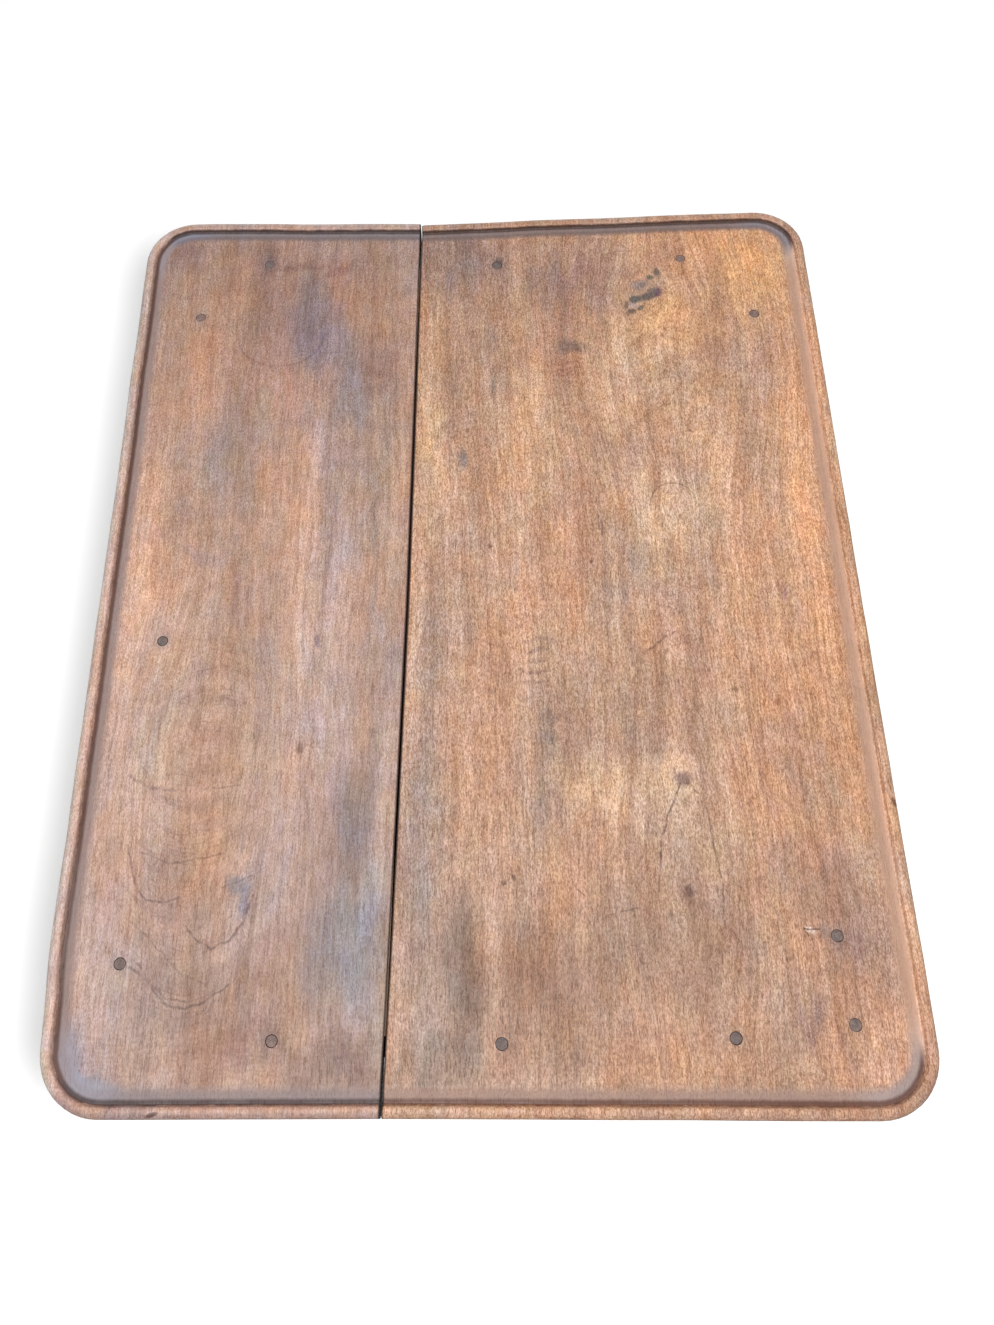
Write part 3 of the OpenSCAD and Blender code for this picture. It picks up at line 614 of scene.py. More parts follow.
leftLook = {
    "seed": 1.3, "golden": (0.404, 0.256, 0.193), "rosy": (0.373, 0.244, 0.194), "fleck": 0.22, "grip": (0.8, 1.4),
    "pores": 0.38, "grain": 0.95,
    # tones of the edge on the left, right, near and far sides, where they differ as painted light and shade
    "rimOuter": ((1.24, 1.58, 1.8), (1, 1, 1), (0.92, 0.98, 1.12), (1.25, 1.45, 1.6)),
    "rimInner": ((1.45, 1.55, 1.66), (1, 1, 1), (1.12, 1.08, 1.1), (1.1, 1.12, 1.16)),
    "gutter": ((0.245, 0.18, 0.172), (0.46, 0.28, 0.21), (0.235, 0.195, 0.2), (0.205, 0.185, 0.205)),
    "foot": ((0.31, 0.195, 0.15), (1, 1, 1), (0.2, 0.145, 0.135), (0.15, 0.13, 0.14)),
    # broad fields of tone: middle, half widths and the colour it multiplies by, in percent
    "fields": [
        (-200, 420, 170, 60, 84, 85, 89), (-168, 320, 16, 56, 63, 65, 76), (-122, 228, 16, 40, 75, 87, 107),
        (-208, 330, 26, 70, 79, 75, 78), (-262, 345, 34, 60, 97, 89, 78), (-105, 330, 26, 75, 92, 82, 72),
        (-272, 240, 24, 70, 123, 107, 92), (-238, 165, 20, 60, 89, 93, 96), (-316, 50, 18, 150, 142, 134, 124),
        (-316, -150, 24, 130, 116, 117, 119), (-316, -350, 24, 70, 114, 119, 129),
        (-290, -100, 26, 200, 108, 105, 103), (-166, 60, 20, 110, 131, 117, 102),
        (-164, -110, 18, 130, 118, 124, 128), (-132, -40, 26, 120, 116, 130, 149), (-225, -140, 24, 130, 101, 95, 86),
        (-106, -205, 18, 50, 54, 63, 78), (-106, -310, 28, 50, 56, 79, 110), (-172, -265, 24, 55, 89, 100, 118),
        (-220, -350, 46, 36, 79, 74, 70), (-92, 165, 12, 90, 92, 97, 95), (-80, -290, 14, 130, 117, 118, 120),
        (-248, -20, 20, 90, 99, 102, 104), (-80, -60, 14, 120, 98, 104, 111), (-330, -400, 30, 30, 67, 88, 126),
        (-320, 410, 30, 24, 74, 71, 75), (-200, 90, 14, 90, 117, 110, 100), (-150, 285, 30, 34, 81, 90, 113),
        (-138, 345, 14, 34, 106, 90, 88), (-95, 255, 14, 30, 77, 73, 77), (-110, 185, 9, 34, 85, 90, 98),
        (-152, 170, 22, 44, 109, 114, 125), (-255, 125, 16, 30, 96, 110, 122), (-300, 300, 20, 50, 97, 96, 93),
        (-225, 240, 20, 50, 101, 91, 82), (-185, 215, 12, 50, 114, 104, 99), (-275, -180, 22, 60, 111, 123, 125),
        (-235, -260, 22, 50, 95, 86, 77), (-90, -150, 10, 50, 92, 93, 94), (-140, -190, 16, 50, 91, 95, 105),
        (-275, -30, 16, 60, 131, 134, 129), (-108, -402, 40, 24, 56, 54, 56), (-196, -400, 30, 20, 80, 73, 75),
        (-74, 60, 12, 90, 118, 118, 109), (-74, -350, 14, 50, 73, 73, 64),
    ],
    # marks: middle, half widths, turn, softness and the colour it multiplies by, in percent
    "spots": [
        (-201, -266, 11, 6, -20, 0.5, 62, 72, 88), (-193, -280, 4, 11, 0, 0.6, 70, 78, 92),
        (-154, -150, 3, 5, 0, 0.5, 55, 50, 50), (-143, -47, 2.5, 6, 0, 0.5, 60, 60, 70),
        (-223, 0, 3, 26, 0, 0.6, 78, 76, 84), (-138, 30, 2.5, 60, -4, 0.6, 80, 78, 84),
        (-258, 38, 18, 6, -20, 0.7, 86, 90, 100), (-95, 30, 3, 70, 0, 0.7, 82, 86, 90),
        (-216, 396, 7, 20, 0, 0.7, 70, 70, 76), (-178, 380, 24, 4, 0, 0.7, 80, 74, 76),
        (-145, 374, 20, 4, 25, 0.7, 84, 78, 80), (-328, 36, 3, 3, 0, 0.5, 55, 50, 50),
    ],
    "chips": [
        (-251.5, -438.8, 5, 1.7, 18, 0.4, 30, 24, 22), (-285, -435, 1.3, 5, -30, 0.5, 66, 64, 66),
        (-236, -440, 9, 1.2, 3, 0.5, 80, 74, 74),
    ],
    "plain": [],
    # growth lines that part round a knot: middle, half widths and gain
    "swirls": [(-154, -150, 12, 22, -0.5), (-215, 215, 22, 40, -0.6), (-238, -140, 52, 120, -0.6)],
    "bowls": [(-240, -270, 58, 120, 9.0), (-236, -90, 40, 50, -9.0)],
    "rings": [(-198, 290, 44, 37, 180, 0.05, 80, 72, 74), (-244, -118, 55, 84, 180, 0.05, 90, 88, 88)],
    # drawn cracks: width, colour in percent and the points along them
    "strokes": [
        (1.5, (56, 52, 52), [(-282, -331), (-269, -339), (-258, -351), (-249, -360), (-234, -363), (-219, -357),
            (-200, -345)]),
        (1.4, (64, 60, 60), [(-276, -328), (-262, -344), (-250, -355), (-234, -357)]),
        (1.5, (56, 52, 55), [(-295, -233), (-290, -250), (-284, -267), (-275, -279), (-257, -280), (-247, -276)]),
        (1.5, (66, 62, 62), [(-282, -239), (-258, -249), (-237, -246), (-212, -240)]),
        (1.6, (52, 48, 48), [(-186, -275), (-192, -296), (-202, -310), (-217, -317), (-231, -309), (-240, -300)]),
        (2.2, (70, 67, 71), [(-301, -173), (-282, -184), (-260, -186)]),
        (1.4, (76, 72, 74), [(-234, -186), (-204, -182)]),
        (1.4, (78, 74, 74), [(-275, -303), (-255, -322), (-240, -336), (-218, -345)]),
        (1.0, (60, 60, 64), [(-212, -268), (-199, -264), (-187, -258)]),
    ],
}
rightLook = {
    "seed": 5.1, "golden": (0.461, 0.269, 0.168), "rosy": (0.424, 0.253, 0.17), "fleck": 0.29, "grip": (1.02, 1.34),
    "pores": 0.6, "grain": 1.28,
    # tones of the edge by side, as on the left board: painted light and shade
    "rimOuter": ((1, 1, 1), (1.14, 1.15, 1.13), (0.98, 0.99, 1.04), (1.0, 1.1, 1.24)),
    "rimInner": ((1, 1, 1), (1.2, 1.18, 1.16), (1.1, 1.06, 1.02), (0.92, 0.94, 1.0)),
    "gutter": ((0.245, 0.18, 0.172), (0.475, 0.292, 0.213), (0.305, 0.208, 0.175), (0.195, 0.16, 0.165)),
    "foot": ((0.31, 0.195, 0.15), (1.12, 1.13, 1.12), (0.33, 0.21, 0.165), (0.17, 0.14, 0.14)),
    "fields": [
        (-20, 395, 50, 45, 65, 72, 88), (50, 400, 40, 36, 93, 88, 93), (108, 372, 34, 50, 73, 70, 83),
        (225, 400, 50, 40, 122, 116, 105), (295, 365, 36, 60, 142, 129, 100), (190, 300, 44, 50, 131, 126, 106),
        (-15, 275, 22, 90, 90, 92, 97), (84, 285, 22, 50, 89, 88, 95), (145, 225, 26, 50, 137, 152, 160),
        (-44, 190, 12, 100, 127, 137, 132), (52, 165, 26, 80, 124, 127, 124), (182, 75, 36, 36, 126, 140, 141),
        (316, 60, 18, 190, 136, 125, 111), (262, -60, 40, 150, 127, 117, 104), (132, -100, 26, 46, 85, 92, 99),
        (118, -186, 56, 24, 134, 148, 148), (190, -225, 34, 30, 117, 132, 138), (-45, -220, 16, 200, 68, 81, 101),
        (-16, -350, 16, 60, 48, 50, 53), (42, -355, 40, 50, 69, 58, 49), (130, -320, 80, 44, 82, 82, 81),
        (266, -255, 28, 24, 79, 85, 98), (300, -300, 26, 40, 79, 78, 89), (312, -400, 40, 28, 131, 125, 124),
        (165, -402, 60, 22, 96, 91, 83), (282, 245, 26, 50, 103, 111, 125), (92, 60, 16, 110, 107, 103, 107),
        (225, 180, 30, 60, 123, 130, 126), (-15, 20, 24, 150, 95, 103, 117), (130, 10, 14, 60, 108, 118, 131),
        (215, 90, 40, 60, 107, 116, 126), (155, 25, 12, 40, 87, 101, 114), (60, -195, 9, 60, 69, 75, 85),
        (78, 345, 20, 28, 78, 86, 97), (72, -345, 20, 14, 99, 92, 93), (85, 255, 22, 16, 94, 90, 91),
        (180, -25, 18, 40, 117, 125, 136), (40, 20, 20, 80, 119, 124, 135), (60, -70, 18, 40, 100, 114, 128),
        (258, -370, 18, 14, 68, 67, 82), (20, 230, 10, 60, 90, 100, 117), (35, -230, 16, 80, 92, 100, 111),
        (300, 150, 18, 60, 123, 125, 119), (235, 40, 12, 80, 116, 116, 110), (150, 120, 20, 24, 111, 117, 127),
        (100, -250, 30, 30, 110, 106, 101), (20, 340, 30, 26, 94, 92, 95), (265, -150, 20, 50, 84, 84, 89),
        (-40, -405, 50, 20, 67, 65, 63), (-44, 60, 18, 130, 106, 109, 111), (-30, -120, 30, 70, 118, 116, 111),
        (95, -395, 24, 24, 82, 77, 75), (20, -120, 36, 40, 106, 109, 115), (-56, -60, 8, 160, 126, 124, 121),
        (95, 395, 30, 20, 116, 131, 126), (285, 270, 30, 40, 110, 104, 98),
    ],
    "spots": [
        (176, 335, 24, 14, 40, 0.6, 80, 90, 106), (185, 335, 12.5, 6.5, 20, 0.4, 33, 38, 52),
        (168, 330, 7, 5, 30, 0.4, 30, 40, 50), (193, 337, 3, 6, 0, 0.5, 75, 58, 92),
        (192, 362, 3.4, 5, 20, 0.5, 34, 40, 52), (185, 356, 3.4, 3.4, 0, 0.5, 34, 46, 50),
        (173, 350, 8, 6, 20, 0.6, 60, 74, 98), (174, 318, 3.2, 3.2, 0, 0.5, 36, 44, 50),
        (163, 313, 5, 3, 20, 0.5, 36, 38, 40), (158, 321, 2, 5, 0, 0.5, 46, 48, 50),
        (166, 321, 5, 4, 0, 0.5, 105, 118, 150), (99, 271, 15, 8, 0, 0.7, 52, 56, 66),
        (-11, 138, 4, 12, 0, 0.7, 56, 66, 84), (22, 225, 2.5, 16, 0, 0.7, 62, 66, 72),
        (174, -178, 6, 6, 0, 0.5, 50, 46, 54), (171, -274, 3, 6, 0, 0.5, 60, 56, 60),
        (176, -285, 7, 4, 0, 0.6, 80, 78, 80), (28, -266, 1.7, 2.4, 20, 0.5, 38, 32, 32),
        (20, -267, 1.4, 2, 30, 0.5, 45, 40, 40), (14, 47, 2, 2.6, 30, 0.5, 46, 38, 38),
        (106, 31, 1.6, 1.8, 0, 0.5, 50, 42, 42), (211, 167, 2, 1.6, 0, 0.5, 45, 42, 45),
        (226, -102, 5, 2, 0, 0.5, 68, 64, 62), (262, -111, 3, 3, 0, 0.5, 66, 56, 56),
        (280, -8, 2, 9, 0, 0.6, 86, 76, 100), (276, -304, 5, 6, 0, 0.6, 76, 84, 92),
        # the bright bluish spot at (265, -305.5), in the dent beside the near right pegs, is a painted highlight
        (265, -305.5, 4.2, 2.8, -8, 0.3, 142, 185, 235), (56, -52, 12, 2.2, 0, 0.6, 78, 76, 80),
        (54, -62, 11, 2, 6, 0.6, 74, 72, 76), (57, -71, 8, 2, -4, 0.6, 72, 70, 74),
        (55, -81, 10, 2, 3, 0.6, 72, 70, 74), (54, -91, 12, 2.2, 0, 0.6, 78, 76, 80),
        (62, -123, 7, 8, 0, 0.6, 76, 76, 84), (62, -142, 7, 6, 0, 0.6, 78, 80, 86),
        (12, -97, 5, 2.4, 0, 0.6, 76, 74, 78), (95, 251, 20, 1.4, 0, 0.6, 80, 74, 74),
        (98, 244, 16, 1.2, 0, 0.6, 82, 77, 77), (96, 237, 18, 1.2, 0, 0.6, 86, 80, 80),
        (26.5, 382, 4, 9, 0, 0.6, 60, 62, 62), (120, 20, 2.5, 60, 0, 0.6, 80, 80, 84),
        (136, -20, 3, 50, 3, 0.6, 82, 82, 86), (203, -20, 2, 40, 0, 0.6, 84, 84, 86),
        (190, -110, 2.5, 30, -6, 0.6, 84, 82, 84),
    ],
    "chips": [(346, -201.5, 1.6, 4.5, 20, 0.5, 36, 30, 30), (60, -441, 14, 1.2, 0, 0.5, 80, 76, 78)],
    "plain": [(272, -20, 60, 230)],
    "swirls": [
        (180, 338, 30, 26, -0.6), (174, -178, 15, 24, -0.7), (171, -274, 10, 16, -0.6), (188, 84, 18, 26, -0.7),
        (205, 275, 85, 150, -0.55), (172, -250, 50, 110, -0.5), (60, 5, 16, 60, -0.4),
    ],
    "bowls": [(196, 220, 38, 90, -14.0)],
    "rings": [(188, 88, 21, 21, 0, 0.06, 58, 56, 50), (188, 75, 6, 4, 180, 0.16, 74, 72, 68)],
    "strokes": [
        (1.4, (46, 42, 44), [(171, -184), (166, -195), (158, -212), (152, -230), (149, -250), (145, -276)]),
        (1.3, (50, 46, 48), [(177, -184), (184, -191), (191, -205), (193, -222), (195, -245), (198, -265),
            (197, -300)]),
        (0.9, (45, 40, 40), [(80, -272), (88, -279)]), (0.9, (60, 56, 56), [(103, -292), (130, -286)]),
        (1.7, (52, 48, 48), [(148, -66), (160, -58), (168, -50), (178, -45)]),
        (1.2, (72, 70, 68), [(-8, -50), (5, -50), (20, -58)]),
        (0.9, (30, 27, 27), [(259, -302.5), (265, -303), (271, -303)]),
        (0.8, (36, 33, 33), [(259, -303), (265, -311)]), (1.0, (66, 62, 62), [(-30, -212), (-22, -226), (-17, -240)]),
        (1.0, (66, 62, 62), [(72, -18), (64, -23)]), (1.0, (66, 60, 60), [(238, -300), (243, -330)]),
    ],
}

layTone(leftBoard, leftLook)
layTone(rightBoard, rightLook)

# frame, drawer and knob wood: noise across and along the grain, detail, roughness and seed
sawn = {"broad": (9, 3, 3, 0.55, 5), "streak": (80, 2.5, 4, 0.6, 7), "ring": (130, 1.4, 2, 0.5, 9),
        "fibre": (420, 26, 3, 0.7, 11), "pore": (1000, 60, 1, 0.5, 13), "soil": (13, 13, 5, 0.65, 15)}


def sawnWood(name, light, dark, axis, seed, scale=1.0, wear=0.5, gloss=(0.42, 0.62)):  # its grain runs along an axis
    kit = paintKit(name)
    place = kit.place

    def fit(across, along):
        sizes = [across * scale] * 3
        sizes[axis] = along * scale
        return tuple(sizes)

    def own(vector, key):
        across, along, detail, rough, at = sawn[key]
        return kit.noise(vector, fit(across, along), detail, rough, seed + at)
    flow = kit.shifted(place, fit(7, 2.4), (0.035, 0.035, 0.035), seed + 2)
    colour = kit.mix(kit.spread(own(place, "broad"), 0.34), light, dark)
    colour = kit.tint(colour, kit.spread(own(flow, "streak"), 0.32), (0.74, 0.70, 0.68), (1.16, 1.17, 1.17))
    ring = kit.span(kit.ridge(own(flow, "ring")), 0.0, 0.035)
    colour = kit.tint(colour, ring, (0.80, 0.74, 0.70), (1, 1, 1))
    fibre = own(flow, "fibre")
    colour = kit.tint(colour, kit.spread(fibre, 0.3), (0.78, 0.75, 0.73), (1.19, 1.21, 1.23))
    pore = kit.span(own(flow, "pore"), 0.60, 0.72)
    colour = kit.stain(colour, kit.times(pore, 0.5), (0.42, 0.36, 0.34))
    across, along, detail, rough, at = sawn["soil"]
    soil = kit.span(kit.noise(place, (across, across, along), detail, rough, seed + at), 0.52, 0.70)
    colour = kit.stain(colour, kit.times(soil, wear), (0.62, 0.60, 0.62))
    rough = kit.spread(kit.noise(place, (24, 24, 24), 4, 0.6, seed + 17), 0.3, *gloss)
    height = kit.scaled(fibre, 0.6, kit.times(pore, -0.7))
    return kit.finish(colour, rough, height, 0.00025)


def endGrain(name, greyed, brown):  # round pegs' ends: each its own tone, with specks
    kit = paintKit(name)
    colour = kit.mix(kit.spread(kit.noise(kit.place, (9, 9, 9), 1, 0.5, 8), 0.40), greyed, brown)
    patchy = kit.spread(kit.noise(kit.place, (240, 240, 240), 4, 0.65, 3), 0.34)
    colour = kit.tint(colour, patchy, (0.70, 0.70, 0.72), (1.3, 1.28, 1.26))
    speck = kit.noise(kit.place, (1500, 1500, 400), 2, 0.6, 6)
    colour = kit.tint(colour, kit.spread(speck, 0.34), (0.72, 0.70, 0.70), (1.28, 1.3, 1.3))
    return kit.finish(colour, kit.span(patchy, 0, 1, 0.5, 0.72), kit.calc("ADD", speck, patchy), 0.0003)


def oldIron(name):
    kit = paintKit(name)
    rust = kit.span(kit.noise(kit.place, (420, 420, 420), 5, 0.7, 2), 0.42, 0.62)
    colour = kit.mix(rust, (0.10, 0.095, 0.10), (0.24, 0.11, 0.06))
    pits = kit.noise(kit.place, (1800, 1800, 1800), 3, 0.6, 5)
    colour = kit.tint(colour, kit.spread(pits, 0.3), (0.65, 0.65, 0.65), (1.3, 1.3, 1.3))
    feed(kit.tree, kit.shader.inputs["Metallic"], kit.span(rust, 0, 1, 0.85, 0.1))
    return kit.finish(colour, kit.span(rust, 0, 1, 0.42, 0.85), pits, 0.0002)


frameTones = (0.39, 0.225, 0.13), (0.27, 0.15, 0.088)
plainTones = (0.48, 0.37, 0.25), (0.37, 0.265, 0.17)
dryWear = (1, 0.7, (0.62, 0.85))  # scale, wear and gloss of unpolished wood
woods = {"leftBoard": boardWood("leftBoardWood", leftLook), "rightBoard": boardWood("rightBoardWood", rightLook)}
for wood, axis, seed, tones, wear in (("frame", "X", 2.1, frameTones, ()), ("frame", "Y", 4.7, frameTones, ()),
                                      ("frame", "Z", 6.2, frameTones, ()), ("plain", "X", 8.4, plainTones, dryWear),
                                      ("plain", "Y", 9.9, plainTones, dryWear)):
    woods[wood + axis] = sawnWood(wood + "Wood" + axis, *tones, "XYZ".index(axis), seed, *wear)
woods["knob"] = sawnWood("knobWood", (0.36, 0.20, 0.12), (0.22, 0.115, 0.07), 0, 3.3, 2.2, 0.4, (0.28, 0.45))
woods["pegs"] = endGrain("pegEnds", (0.108, 0.094, 0.089), (0.195, 0.130, 0.114))
woods["nails"] = oldIron("nailIron")
print("finishes made")


# pieces that keep the CAD solids' outlines, with worn arrises
def joins(obj, node, body):
    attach(obj, body)
    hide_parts(node)


def stands(obj, node, body, wood):
    obj.data.materials.clear()
    obj.data.materials.append(woods[wood])
    joins(obj, node, body)


arris = {"weld": 1e-6, "flat": 1.2, "bevelled": 40, "segments": 2, "sharpest": 38}


def eased(node, width):  # a CAD solid's mesh, its arrises rounded by width in millimetres
    bm = bmesh.new()
    bm.from_mesh(cadNodes[node].data)
    bmesh.ops.remove_doubles(bm, verts=bm.verts, dist=arris["weld"])
    bmesh.ops.dissolve_limit(bm, angle_limit=math.radians(arris["flat"]), verts=bm.verts, edges=bm.edges)
    data = bpy.data.meshes.new(node + "Worn")
    bm.to_mesh(data)
    bm.free()
    obj = addObject(node + "Worn", data)
    step = obj.modifiers.new("arris", "BEVEL")
    step.width, step.segments, step.use_clamp_overlap = width * mm, arris["segments"], True
    step.limit_method, step.angle_limit = "ANGLE", math.radians(arris["bevelled"])
    settle(obj)
    shadeFrom(obj, arris["sharpest"])
    return obj


kept = {  # body, slot and the grain's axis: each node and how far its arrises are rounded, in millimetres
    ("table", "frame", "Y"): {"top_tongue": 0.4, "rail_left": 0.9, "rail_right": 0.9},
    ("table", "frame", "X"): {"rail_near": 0.9, "rail_far": 0.9},
    ("table", "plain", "X"): {"runner_near": 0.8, "runner_far": 0.8, "drawer_stops": 0.6},
    ("drawer", "frame", "Y"): {"drawer_front": 0.7},
    ("drawer", "plain", "X"): {"drawer_side_near": 0.35, "drawer_side_far": 0.35},
    ("drawer", "plain", "Y"): {"drawer_back": 0.35, "drawer_bottom": 0.5},
}
for (body, slotName, axis), pieces in kept.items():
    for node, width in pieces.items():
        stands(eased(node, width), node, body, slotName + axis)
stands(leftBoard, "top_board_left", "table", "leftBoard")
stands(rightBoard, "top_board_right", "table", "rightBoard")
print("boards, rails, runners and drawer placed")

# legs: one carved skin each, from hoof to post
leg = {
    "width": 54.0, "top": 701.0,
    # height, shift outwards, width and squareness of the rings: the sole, then keys of a curve, then the post
    "sole": [(0.0, 11.0, 36.6, 3.4), (0.5, 11.0, 38.0, 3.4)],
    "keys": [(0, 11, 39, 3.4), (13.8, 10, 37, 3.2), (41.4, 3.3, 30, 2.8), (83, -5.6, 25.5, 2.6), (150, -8, 25, 2.6),
             (243.75, -7.2, 29, 2.7), (337.5, -2.8, 35, 2.9), (431.25, 4.5, 46, 3.4), (525, 9, 57, 4.4),
             (552.6, 4.5, 55.5, 6), (579, 0, 53, 9)],
    "post": [(575.5, 0.35, 53.5, 9.5), (581, 0, 53.8, 14), (588, 0, 54, 22), (597, 0, 54, 34), (611, 0, 54, 40),
             (640, 0, 54, 40), (670, 0, 54, 40), (692, 0, 54, 40), (699.6, 0, 54, 40), (701, 0, 52.4, 40)],
    "perSpan": 8, "leftOut": 4, "arcSteps": 7, "sharpest": 40,
    "middle": (0.75, -2.75), "spread": (274.75, 371.75),
    "marks": {"depth": 0.45, "fade": (560, 30), "start": 12, "around": 1.6, "length": 26},  # the spokeshave's
    "mortise": {"back": -4.9, "across": (6.9, 17.1), "height": (598.9, 687.1)},
    "pegs": {"radius": 3.55, "deep": 34.0, "back": -16.0, "heights": (621, 665)},
}
legNodes = [("leg_far_right", 1, 1), ("leg_far_left", -1, 1), ("leg_near_left", -1, -1), ("leg_near_right", 1, -1)]
legPlaces = [[leg["middle"][i] + side[i] * leg["spread"][i] for i in (0, 1)] for node, *side in legNodes]
curved = (len(leg["keys"]) - 1) * leg["perSpan"] - leg["leftOut"]
legRings = leg["sole"] + [tuple(along(leg["keys"], i / leg["perSpan"])) for i in range(1, curved)] + leg["post"]


def legMesh(k):
    node, (placeX, placeY) = legNodes[k][0], legPlaces[k]
    points, steps = [], leg["arcSteps"]
    for z, out, w, n in legRings:
        r = w / 2 * min((1 - 2 ** (-1 / n)) / 0.293, 1)  # a round corner that comes as near as the squareness asks
        for q in range(4):
            for a in np.radians(np.linspace(0, 90, steps + 1)):
                a += q * math.pi / 2
                cx = (1 if q in (0, 3) else -1) * (w / 2 - r)
                cy = (1 if q in (0, 1) else -1) * (w / 2 - r)
                points.append([out + cx + r * math.cos(a), out + cy + r * math.sin(a), z])
    per = 4 * (steps + 1)
    p = np.array(points)
    marks = leg["marks"]
    low = smoothStep(p[:, 2] / marks["start"])
    carve = marks["depth"] * (1 - smoothStep((p[:, 2] - marks["fade"][0]) / marks["fade"][1])) * low  # always inwards
    radial = p[:, :2] - np.repeat([[r[1], r[1]] for r in legRings], per, axis=0)
    angle = np.arctan2(radial[:, 1], radial[:, 0]) * marks["around"] + 20 * k
    depth = carve * (ripple(angle, p[:, 2] / marks["length"], 4.0) + 1) / 2
    p[:, :2] -= radial / np.linalg.norm(radial, axis=1, keepdims=True) * depth[:, None]
    obj = meshObject(node + "Carved", p * mm, tubeFaces(len(legRings), per))

    m, pins, half = leg["mortise"], leg["pegs"], leg["width"] / 2
    ways = (lambda x, y, z: (x, y, z)), (lambda x, y, z: (y, x, z))  # each cut once for each of two rails
    for way in ways:
        cutWith(obj, lambda bm: boxMesh(bm, way(-half - 1, m["across"][0], m["height"][0]),
                                        way(m["back"], m["across"][1], m["height"][1])))
    for z in pins["heights"]:
        for way in ways:
            cutWith(obj, lambda bm: rodMesh(bm, way(pins["back"], half + 1, z), way(0, -1, 0), pins["deep"] + 1,
                                            pins["radius"], 20))
    obj.data.transform(Matrix.Translation((placeX * mm, placeY * mm, 0)) @ Matrix.Rotation(k * math.pi / 2, 4, "Z"))
    for px, py in pegPlaces:
        if max(abs(px - placeX), abs(py - placeY)) < half:
            cutWith(obj, lambda bm: rodMesh(bm, (px, py, leg["top"] - 40), (0, 0, 1), 45, top["pegBore"]))
    shadeFrom(obj, leg["sharpest"])
    stands(obj, node, "table", "frameZ")


for k in range(4):
    legMesh(k)
print("legs carved")


# pegs and nails: one nodes group sets a short shape at each place
def setTree():
    tree = bpy.data.node_groups.new("setShapes", "GeometryNodeTree")
    for name, kind, way in (("Places", "Geometry", "INPUT"), ("Shape", "Object", "INPUT"), ("Seed", "Int", "INPUT"),
                            ("Slimmest", "Float", "INPUT"), ("Finish", "Material", "INPUT"),
                            ("Set", "Geometry", "OUTPUT")):
        tree.interface.new_socket(name, socket_type="NodeSocket" + kind, in_out=way)

    def put(kind, ins=(), **settings):
        return putNode(tree, kind, ins, **settings).outputs
    given = put("NodeGroupInput")
    shape = put("GeometryNodeObjectInfo", {"Object": given["Shape"]}, transform_space="ORIGINAL")
    aim = put("GeometryNodeInputNamedAttribute", {"Name": "aim"}, data_type="FLOAT_VECTOR")
    point = put("FunctionNodeAlignRotationToVector", {"Vector": aim["Attribute"]}, axis="Z")
    spin = put("FunctionNodeRandomValue", {"Seed": given["Seed"], 3: 6.28}, data_type="FLOAT")[1]
    euler = put("ShaderNodeCombineXYZ", {2: spin})
    roll = put("FunctionNodeRotateRotation", {0: point[0], 1: euler[0]}, rotation_space="LOCAL")
    later = put("ShaderNodeMath", {0: given["Seed"], 1: 7}, operation="ADD")
    slim = put("FunctionNodeRandomValue", {"Seed": later[0], 2: given["Slimmest"], 3: 1}, data_type="FLOAT")[1]
    size = put("ShaderNodeCombineXYZ", {0: slim, 1: slim, 2: 1})
    place = put("GeometryNodeInstanceOnPoints", {"Points": given["Places"], "Instance": shape["Geometry"],
                                                 "Rotation": roll[0], "Scale": size[0]})
    real = put("GeometryNodeRealizeInstances", {0: place[0]})
    paint = put("GeometryNodeSetMaterial", {0: real[0], "Material": given["Finish"]})
    put("NodeGroupOutput", {"Set": paint[0]})
    return tree


shapeSetter = setTree()


def setShapes(name, places, aims, shape, seed, slimmest, node, body, wood):
    obj = meshObject(name, np.array(places) * mm, [])
    onPoints(obj, "aim", aims, "FLOAT_VECTOR", "vector")
    step = obj.modifiers.new("set", "NODES")
    step.node_group = shapeSetter
    ids = {s.name: s.identifier for s in shapeSetter.interface.items_tree if s.in_out == "INPUT"}
    for key, value in (("Shape", shape), ("Seed", seed), ("Slimmest", slimmest), ("Finish", woods[wood])):
        step[ids[key]] = value
    settle(obj)
    old = shape.data
    bpy.data.objects.remove(shape)
    bpy.data.meshes.remove(old)
    shadeFrom(obj, 30)
    joins(obj, node, body)


def turned(name, profile, sides, spin=(0.0, 0.0)):  # a turned shape: radius and height, along Z
    points = []
    for r, z in profile:
        for a in (2 * math.pi * j / sides for j in range(sides)):
            wobble = 1 - spin[0] * (0.5 + 0.5 * math.sin(a * 3 + spin[1]))
            points.append((r * wobble * math.cos(a) * mm, r * wobble * math.sin(a) * mm, z * mm))
    return meshObject(name, points, tubeFaces(len(profile), sides))


# each: its profile's radii and heights, sides, and how far it strays from round
small = {
    "topPeg": ([(4.3, 0), (4.95, 3), (4.95, 60.6), (4.7, 61.15), (3.9, 61.3), (2, 61.38)], 20, (0.05, 1.0)),
    "pin": ([(2.9, 0), (3.45, 3), (3.45, 33.0), (3.2, 33.5), (2.4, 33.85)], 16, (0.05, 2.0)),
    "nail": ([(0.9, 0), (2.6, 0.35), (2.9, 0.75), (2.6, 1.15), (1.28, 1.25), (1.28, 22), (0.7, 25.5), (0.3, 27)],
             14, (0.12, 0.5)),
    "topPegFoot": 661, "nailPlaces": (-130, 0, 130),
}
setShapes("topPegsSet", [(x, y, small["topPegFoot"]) for x, y in pegPlaces], [(0, 0, 1)] * len(pegPlaces),
          turned("pegShape", *small["topPeg"]), 5, 0.94, "top_pegs", "table", "pegs")
pinPlaces, pinAims = [], []
back, inward = leg["pegs"]["back"], leg["width"] / 2 - leg["pegs"]["deep"]
